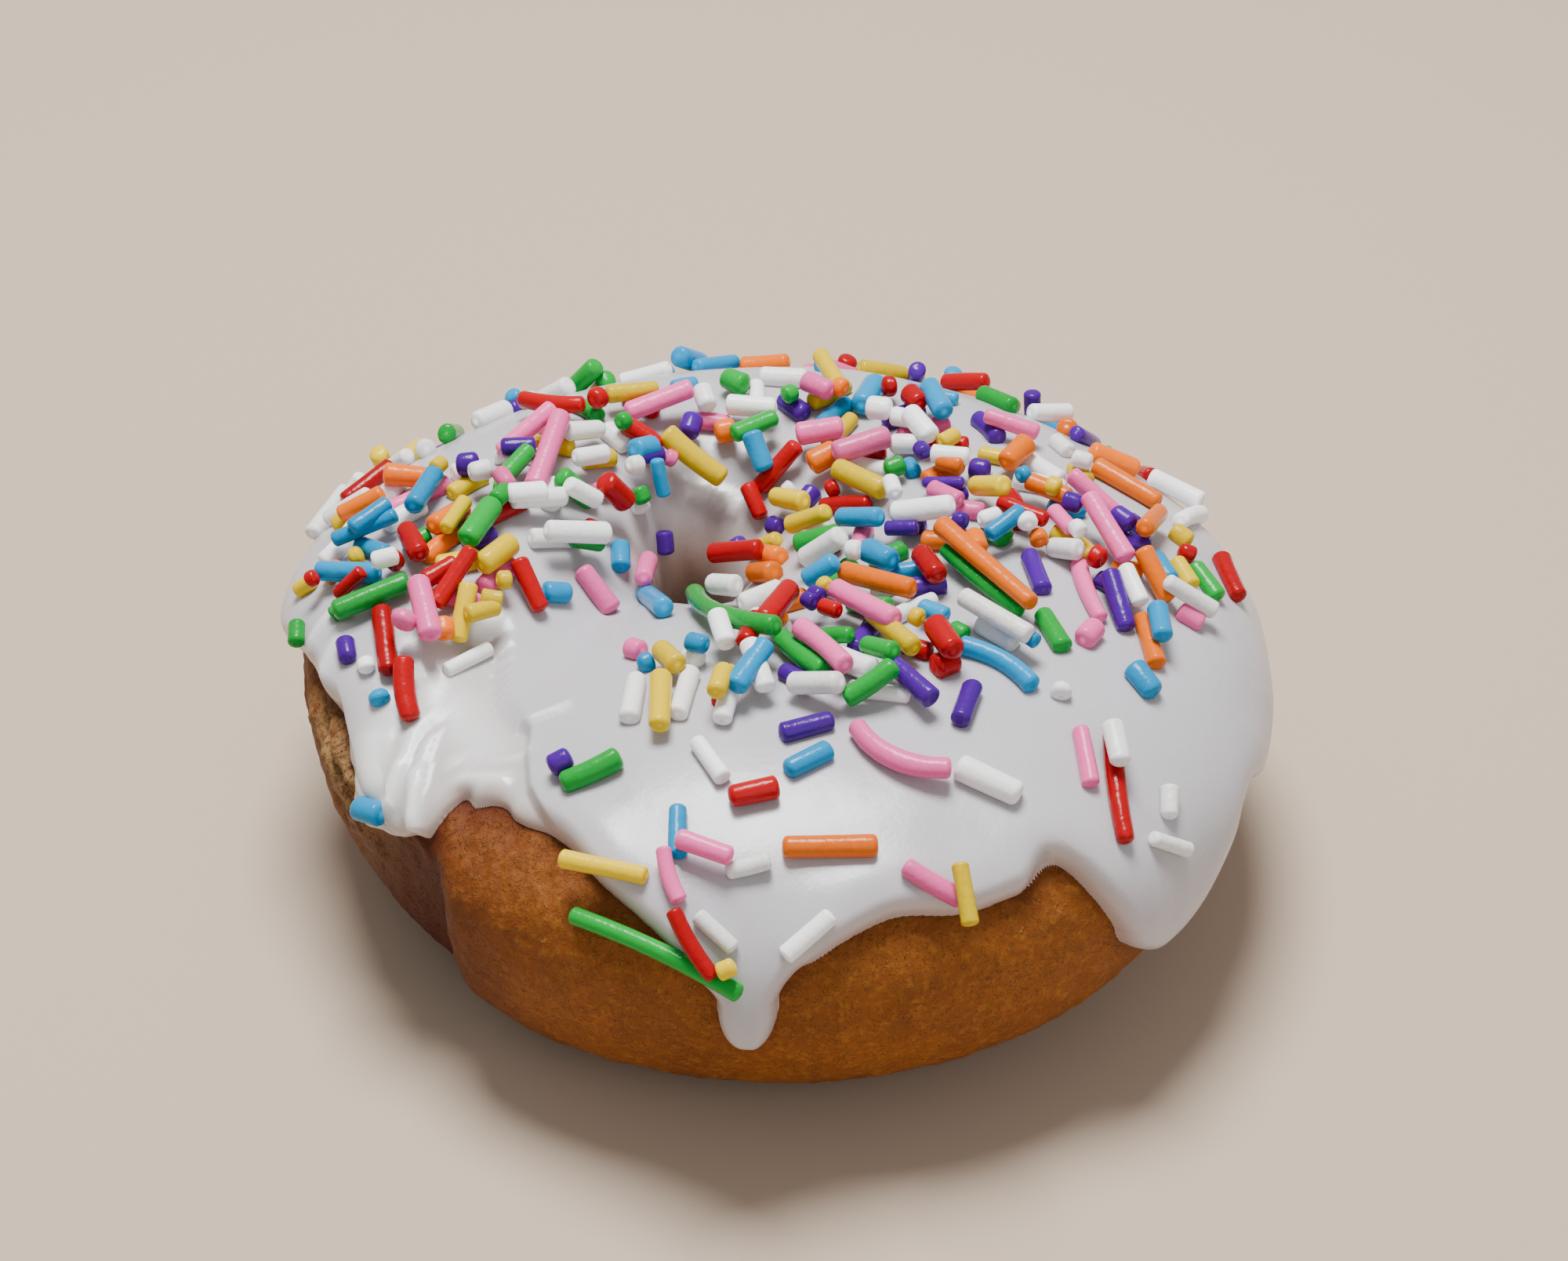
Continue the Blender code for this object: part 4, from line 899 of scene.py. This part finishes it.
def loose_rows(draw, heaps, lengths, highest):
    """Rows of sprinkles that lie at random in heaps."""
    rows = []
    for turn, turn_reach, tilt, tilt_reach, count in heaps:
        for _ in range(count):
            t, s = turn + turn_reach * draw.uniform(-1, 1), tilt + tilt_reach * draw.uniform(-1, 1)
            s = max(s, float(hem_tilt(t)) + HEAP_ABOVE_HEM)
            heading, length = draw.uniform(0, np.pi), draw.uniform(*lengths)
            ring, section = degree_lengths(t, s)
            over, up = length * np.cos(heading) / ring / 2, length * np.sin(heading) / section / 2
            colour = COLOURS[draw.choice(len(COLOURS), p=COLOUR_SHARES)]
            bend, girth = draw.normal(0, LOOSE_BEND), draw.uniform(*LOOSE_GIRTH)
            rows.append((colour, t - over, s - up, t + over, s + up, bend, girth, highest))
    return rows


def arc(middle, along, side, length, bend):
    """Points of the middle line of a sprinkle, bent towards one side."""
    at = np.linspace(-0.5, 0.5, LINE_POINTS) * length
    angle = np.radians(bend) if abs(bend) > LEAST_BEND else np.radians(LEAST_BEND)
    radius = length / angle
    sideways = radius * (1 - np.cos(at / radius)) - length * angle / 24
    return middle + np.outer(radius * np.sin(at / radius), along) + np.outer(sideways, side)


def needed_by_icing(line, rest, turn, tilt, vectors, radius, settings):
    """How far each point of a line must rise to lie on the icing, or on bare dough where there is none."""
    along, inward, out = vectors
    ring, section = degree_lengths(turn, tilt)
    turns, tilts = turn + (line - rest) @ along / ring, tilt + (line - rest) @ inward / section
    depth = icing_lift(turns, tilts, *rough_hem_distances(turns, tilts), settings)
    return (dough_point(turns, tilts) - line) @ out + np.maximum(depth + radius * (1 - SUNK), radius)


def needed_by_others(line, laid, out, radius, reach):
    """How far each point of a line must rise to clear the sprinkles laid before it."""
    need = np.full(LINE_POINTS, -1.0)
    for other, other_radius in laid:
        if np.linalg.norm(other[LINE_POINTS // 2] - line[LINE_POINTS // 2]) > reach:
            continue
        start, run = other[:-1], other[1:] - other[:-1]
        gap = line[:, None, :] - start
        flat_run, flat_gap = run - np.outer(run @ out, out), gap - (gap @ out)[..., None] * out
        share = np.clip((flat_gap * flat_run).sum(-1) / np.maximum((flat_run**2).sum(-1), 1e-12), 0, 1)
        apart = gap - share[..., None] * run
        height = apart @ out
        level = (apart**2).sum(-1) - height**2
        touch = PRESSED * (radius + other_radius)
        rise = np.where(level < touch**2, np.sqrt(np.maximum(touch**2 - level, 0)) - height, -1.0)
        need = np.maximum(need, rise.max(1))
    return need


def on_sight_line(turn, tilt, middle):
    """The place of the dough that shows, at the height of reading, just where a given point does."""
    for _ in range(SIGHT_STEPS):
        along, inward, out = directions(np.array(turn), np.array(tilt))
        gap = dough_point(turn, tilt) + out * READ_LIFT - middle
        shift = SIGHT * (gap @ out) / max(SIGHT @ out, LOWEST_FACING) - gap
        turn, tilt = slide(turn, tilt, shift, along, inward)
    return float(turn), float(tilt)


def lay_sprinkles(settings, icing_settings):
    """Colour, middle line and radius of sprinkles, each resting on the icing and on those laid before it."""
    laid, colours = [], []
    for colour, turn_1, tilt_1, turn_2, tilt_2, bend, girth, highest in sprinkle_rows(settings):
        radius = girth * settings.girth / 2
        turn, tilt = (turn_1 + turn_2) / 2, (tilt_1 + tilt_2) / 2
        start, end = (
            dough_point(t, s) + directions(np.array(t), np.array(s))[2] * READ_LIFT
            for t, s in ((turn_1, tilt_1), (turn_2, tilt_2))
        )
        chord = end - start
        length = np.linalg.norm(chord)
        if highest is None:
            turn, tilt = on_sight_line(turn, tilt, (start + end) / 2)
        for attempt in range(2 if highest is None else 1):
            vectors = directions(np.array(turn), np.array(tilt))
            along, inward, out = vectors
            axis = chord - out * (chord @ out)
            axis = axis / np.linalg.norm(axis)
            rest = dough_point(turn, tilt)
            straight = max(length - 2 * BLUNT * radius - READ_WIDE, SHORTEST)
            line = arc(rest, axis, np.cross(out, axis), straight, bend)
            at = (line - rest) @ axis
            need = np.maximum(
                needed_by_icing(line, rest, turn, tilt, vectors, radius, icing_settings),
                needed_by_others(line, laid, out, radius, length + NEIGHBOURS),
            )
            lifts = np.array([np.max(need - slope * at) for slope in SLOPES])
            best = int(np.argmin(lifts + TILTING_COST * np.abs(SLOPES)))
            if highest is None and attempt == 0:
                shift = (lifts[best] - READ_LIFT) * (SIGHT / max(SIGHT @ out, LOWEST_FACING) - out)
                turn, tilt = slide(turn, tilt, shift, along, inward)
        on_icing = icing_settings.depth + ICING_GAP + radius * (1 - SUNK)
        if highest is not None and lifts[best] - on_icing > highest:
            continue
        lift = min(lifts[best], on_icing + HIGHEST_PILE)
        laid.append((line + (lift + SLOPES[best] * at)[:, None] * out, radius))
        colours.append(colour)
    return [(colour, *row) for colour, row in zip(colours, laid)]


def sprinkle_skin(line, radius, draw):
    """Points and quads of one sprinkle: a lumpy rod with blunt rounded ends, a little uneven in girth."""
    run = np.linalg.norm(np.diff(line, axis=0), axis=1)
    total = np.concatenate([[0], np.cumsum(run)])
    cap = np.sin(np.linspace(CAP_START, 1, CAP_RINGS) * np.pi / 2)
    body = max(int(total[-1] / SPRINKLE_STEP), 3)
    blunt = BLUNT * radius
    start = (line[0] - line[1]) / run[0]
    end = (line[-1] - line[-2]) / run[-1]
    rises = np.sqrt(np.clip(1 - cap**2, 0, 1)) ** CAP_FULLNESS
    centres = [line[0] + start * blunt * c for c in cap[::-1]]
    widths = list(rises[::-1])
    for s in np.linspace(0, total[-1], body):
        centres.append(np.array([np.interp(s, total, line[:, k]) for k in range(3)]))
        widths.append(1.0)
    centres += [line[-1] + end * blunt * c for c in cap]
    widths += list(rises)
    centres, widths = np.array(centres), np.array(widths)
    axis = np.gradient(centres, axis=0)
    axis = axis / np.linalg.norm(axis, axis=1, keepdims=True)
    side = np.cross(axis, draw.normal(size=3))
    side = side / np.linalg.norm(side, axis=1, keepdims=True)
    other = np.cross(axis, side)
    place = np.linspace(0, 1, len(centres))
    swell = 1 + draw.uniform(*SWELL) * np.sin(place * draw.uniform(3, 8) + draw.uniform(0, 6))
    swell = swell * (1 + draw.uniform(-TAPER, TAPER) * (place - 0.5))
    flat = draw.uniform(FLATTEST, 1.0)
    around = np.arange(SPRINKLE_SIDES) / SPRINKLE_SIDES * 2 * np.pi
    lump = 1 + LUMP * np.sin(around * 2 + draw.uniform(0, 6) + place[:, None] * 5)
    reach = radius * (widths * swell)[:, None] * lump
    points = centres[:, None] + side[:, None] * (reach * np.cos(around))[..., None]
    points = points + other[:, None] * (reach * flat * np.sin(around))[..., None]
    rings = len(centres)
    tips = np.array([centres[0] + start * blunt * CAP_TIP, centres[-1] + end * blunt * CAP_TIP])
    points = np.concatenate([points.reshape(-1, 3), tips])
    j = np.arange(SPRINKLE_SIDES)
    after = (j + 1) % SPRINKLE_SIDES
    quads = []
    for k in range(rings - 1):
        a, b = k * SPRINKLE_SIDES, (k + 1) * SPRINKLE_SIDES
        quads.append(np.stack([a + j, a + after, b + after, b + j], -1))
    first, last = rings * SPRINKLE_SIDES, rings * SPRINKLE_SIDES + 1
    quads.append(np.stack([j, np.full_like(j, first), np.full_like(j, first), after], -1))
    final = (rings - 1) * SPRINKLE_SIDES
    quads.append(np.stack([final + j, final + after, np.full_like(j, last), np.full_like(j, last)], -1))
    return points, np.concatenate(quads)


def make_sprinkles(settings, icing_settings):
    """All sprinkles of one colour become one piece."""
    draw = np.random.default_rng(settings.seed + 1)
    made = {colour: ([], [], []) for colour in COLOURS}
    for colour, line, radius in lay_sprinkles(settings, icing_settings):
        points, quads, tones = made[colour]
        skin, faces = sprinkle_skin(line, radius, draw)
        quads.append(faces + sum(len(p) for p in points))
        points.append(skin)
        tones.append(np.full(len(skin), draw.uniform()))
    for colour, (points, quads, tones) in made.items():
        piece = new_mesh("sprinkles_" + colour, np.concatenate(points), np.concatenate(quads))
        keep_value(piece, "tone", np.concatenate(tones))
        finish(piece, sugar_shell(colour, tuple(getattr(settings, colour))), "icing")


def make_stage(settings):
    """The floor, the soft lights and the camera."""
    half = FLOOR_SIZE / 2
    corners = np.array([(-half, -half, 0), (half, -half, 0), (half, half, 0), (-half, half, 0)])
    floor = new_mesh("floor", corners, np.array([[0, 1, 2, 3]]))
    floor.data.materials.append(floor_finish(settings))
    world = bpy.data.worlds.new("studio")
    world.use_nodes = True
    glow = world.node_tree.nodes["Background"].inputs
    glow["Color"].default_value, glow["Strength"].default_value = SURROUND_COLOUR, settings.surround
    bpy.context.scene.world = world
    for name, power, size, place in (
        ("key", settings.key_power, KEY_SIZE, KEY_PLACE),
        ("fill", settings.fill_power, FILL_SIZE, FILL_PLACE),
    ):
        data = bpy.data.lights.new(name, "AREA")
        data.shape, data.size, data.energy = "DISK", size, power
        light = bpy.data.objects.new(name, data)
        light.location = place
        light.rotation_euler = (Vector(LIGHT_AIM) - Vector(place)).to_track_quat("-Z", "Y").to_euler()
        bpy.context.scene.collection.objects.link(light)
    angle = np.radians(CAMERA_HEIGHT_ANGLE)
    data = bpy.data.cameras.new("camera")
    data.lens, data.sensor_width, data.sensor_fit = CAMERA_LENS, CAMERA_SENSOR, "HORIZONTAL"
    camera = bpy.data.objects.new("camera", data)
    away_from = Vector((0, -np.cos(angle), np.sin(angle))) * CAMERA_DISTANCE
    camera.location = Vector(CAMERA_AIM) + away_from
    camera.rotation_euler = (
        np.radians(90 - CAMERA_HEIGHT_ANGLE + CAMERA_RAISE), 0.0, np.radians(-CAMERA_SWING)
    )
    bpy.context.scene.collection.objects.link(camera)
    bpy.context.scene.camera = camera


class DOUGHNUT_OT_fry_ring(bpy.types.Operator):
    """Makes the fried ring"""

    bl_idname = "doughnut.fry_ring"
    bl_label = "Fry the ring"

    def execute(self, context):
        settings = context.scene.doughnut_dough
        finish(make_dough(settings), fried_crust(settings), "dough")
        return {"FINISHED"}


class DOUGHNUT_OT_pour_icing(bpy.types.Operator):
    """Makes the white icing that runs down the ring"""

    bl_idname = "doughnut.pour_icing"
    bl_label = "Pour the icing"

    def execute(self, context):
        settings = context.scene.doughnut_icing
        finish(make_icing(settings), sugar_icing(settings), "icing")
        return {"FINISHED"}


class DOUGHNUT_OT_scatter_sprinkles(bpy.types.Operator):
    """Lays the sugar sprinkles, one piece for each colour"""

    bl_idname = "doughnut.scatter_sprinkles"
    bl_label = "Scatter the sprinkles"

    def execute(self, context):
        make_sprinkles(context.scene.doughnut_sprinkles, context.scene.doughnut_icing)
        return {"FINISHED"}


class DOUGHNUT_OT_set_stage(bpy.types.Operator):
    """Sets the floor, the lights and the camera"""

    bl_idname = "doughnut.set_stage"
    bl_label = "Set the stage"

    def execute(self, context):
        make_stage(context.scene.doughnut_stage)
        return {"FINISHED"}


class DOUGHNUT_PT_sidebar(bpy.types.Panel):
    """The doughnut's steps and settings"""

    bl_label = "Doughnut"
    bl_idname = "DOUGHNUT_PT_sidebar"
    bl_space_type = "VIEW_3D"
    bl_region_type = "UI"
    bl_category = "Doughnut"

    def draw(self, context):
        for operator, group in STEPS:
            box = self.layout.box()
            box.operator(operator)
            settings = getattr(context.scene, group)
            for name in settings.bl_rna.properties.keys():
                if name not in ("rna_type", "name"):
                    box.prop(settings, name)


STEPS = (
    ("doughnut.fry_ring", "doughnut_dough"),
    ("doughnut.pour_icing", "doughnut_icing"),
    ("doughnut.scatter_sprinkles", "doughnut_sprinkles"),
    ("doughnut.set_stage", "doughnut_stage"),
)
GROUPS = {
    "doughnut_dough": DoughSettings,
    "doughnut_icing": IcingSettings,
    "doughnut_sprinkles": SprinkleSettings,
    "doughnut_stage": StageSettings,
}
CLASSES = (
    *GROUPS.values(), DOUGHNUT_OT_fry_ring, DOUGHNUT_OT_pour_icing, DOUGHNUT_OT_scatter_sprinkles,
    DOUGHNUT_OT_set_stage, DOUGHNUT_PT_sidebar,
)


def register():
    for made in CLASSES:
        bpy.utils.register_class(made)
    for name, group in GROUPS.items():
        setattr(bpy.types.Scene, name, PointerProperty(type=group))


def unregister():
    for name in GROUPS:
        delattr(bpy.types.Scene, name)
    for made in reversed(CLASSES):
        bpy.utils.unregister_class(made)


def main():
    register()
    bpy.ops.doughnut.fry_ring()
    bpy.ops.doughnut.pour_icing()
    bpy.ops.doughnut.scatter_sprinkles()
    bpy.ops.doughnut.set_stage()


if __name__ == "__main__":
    main()
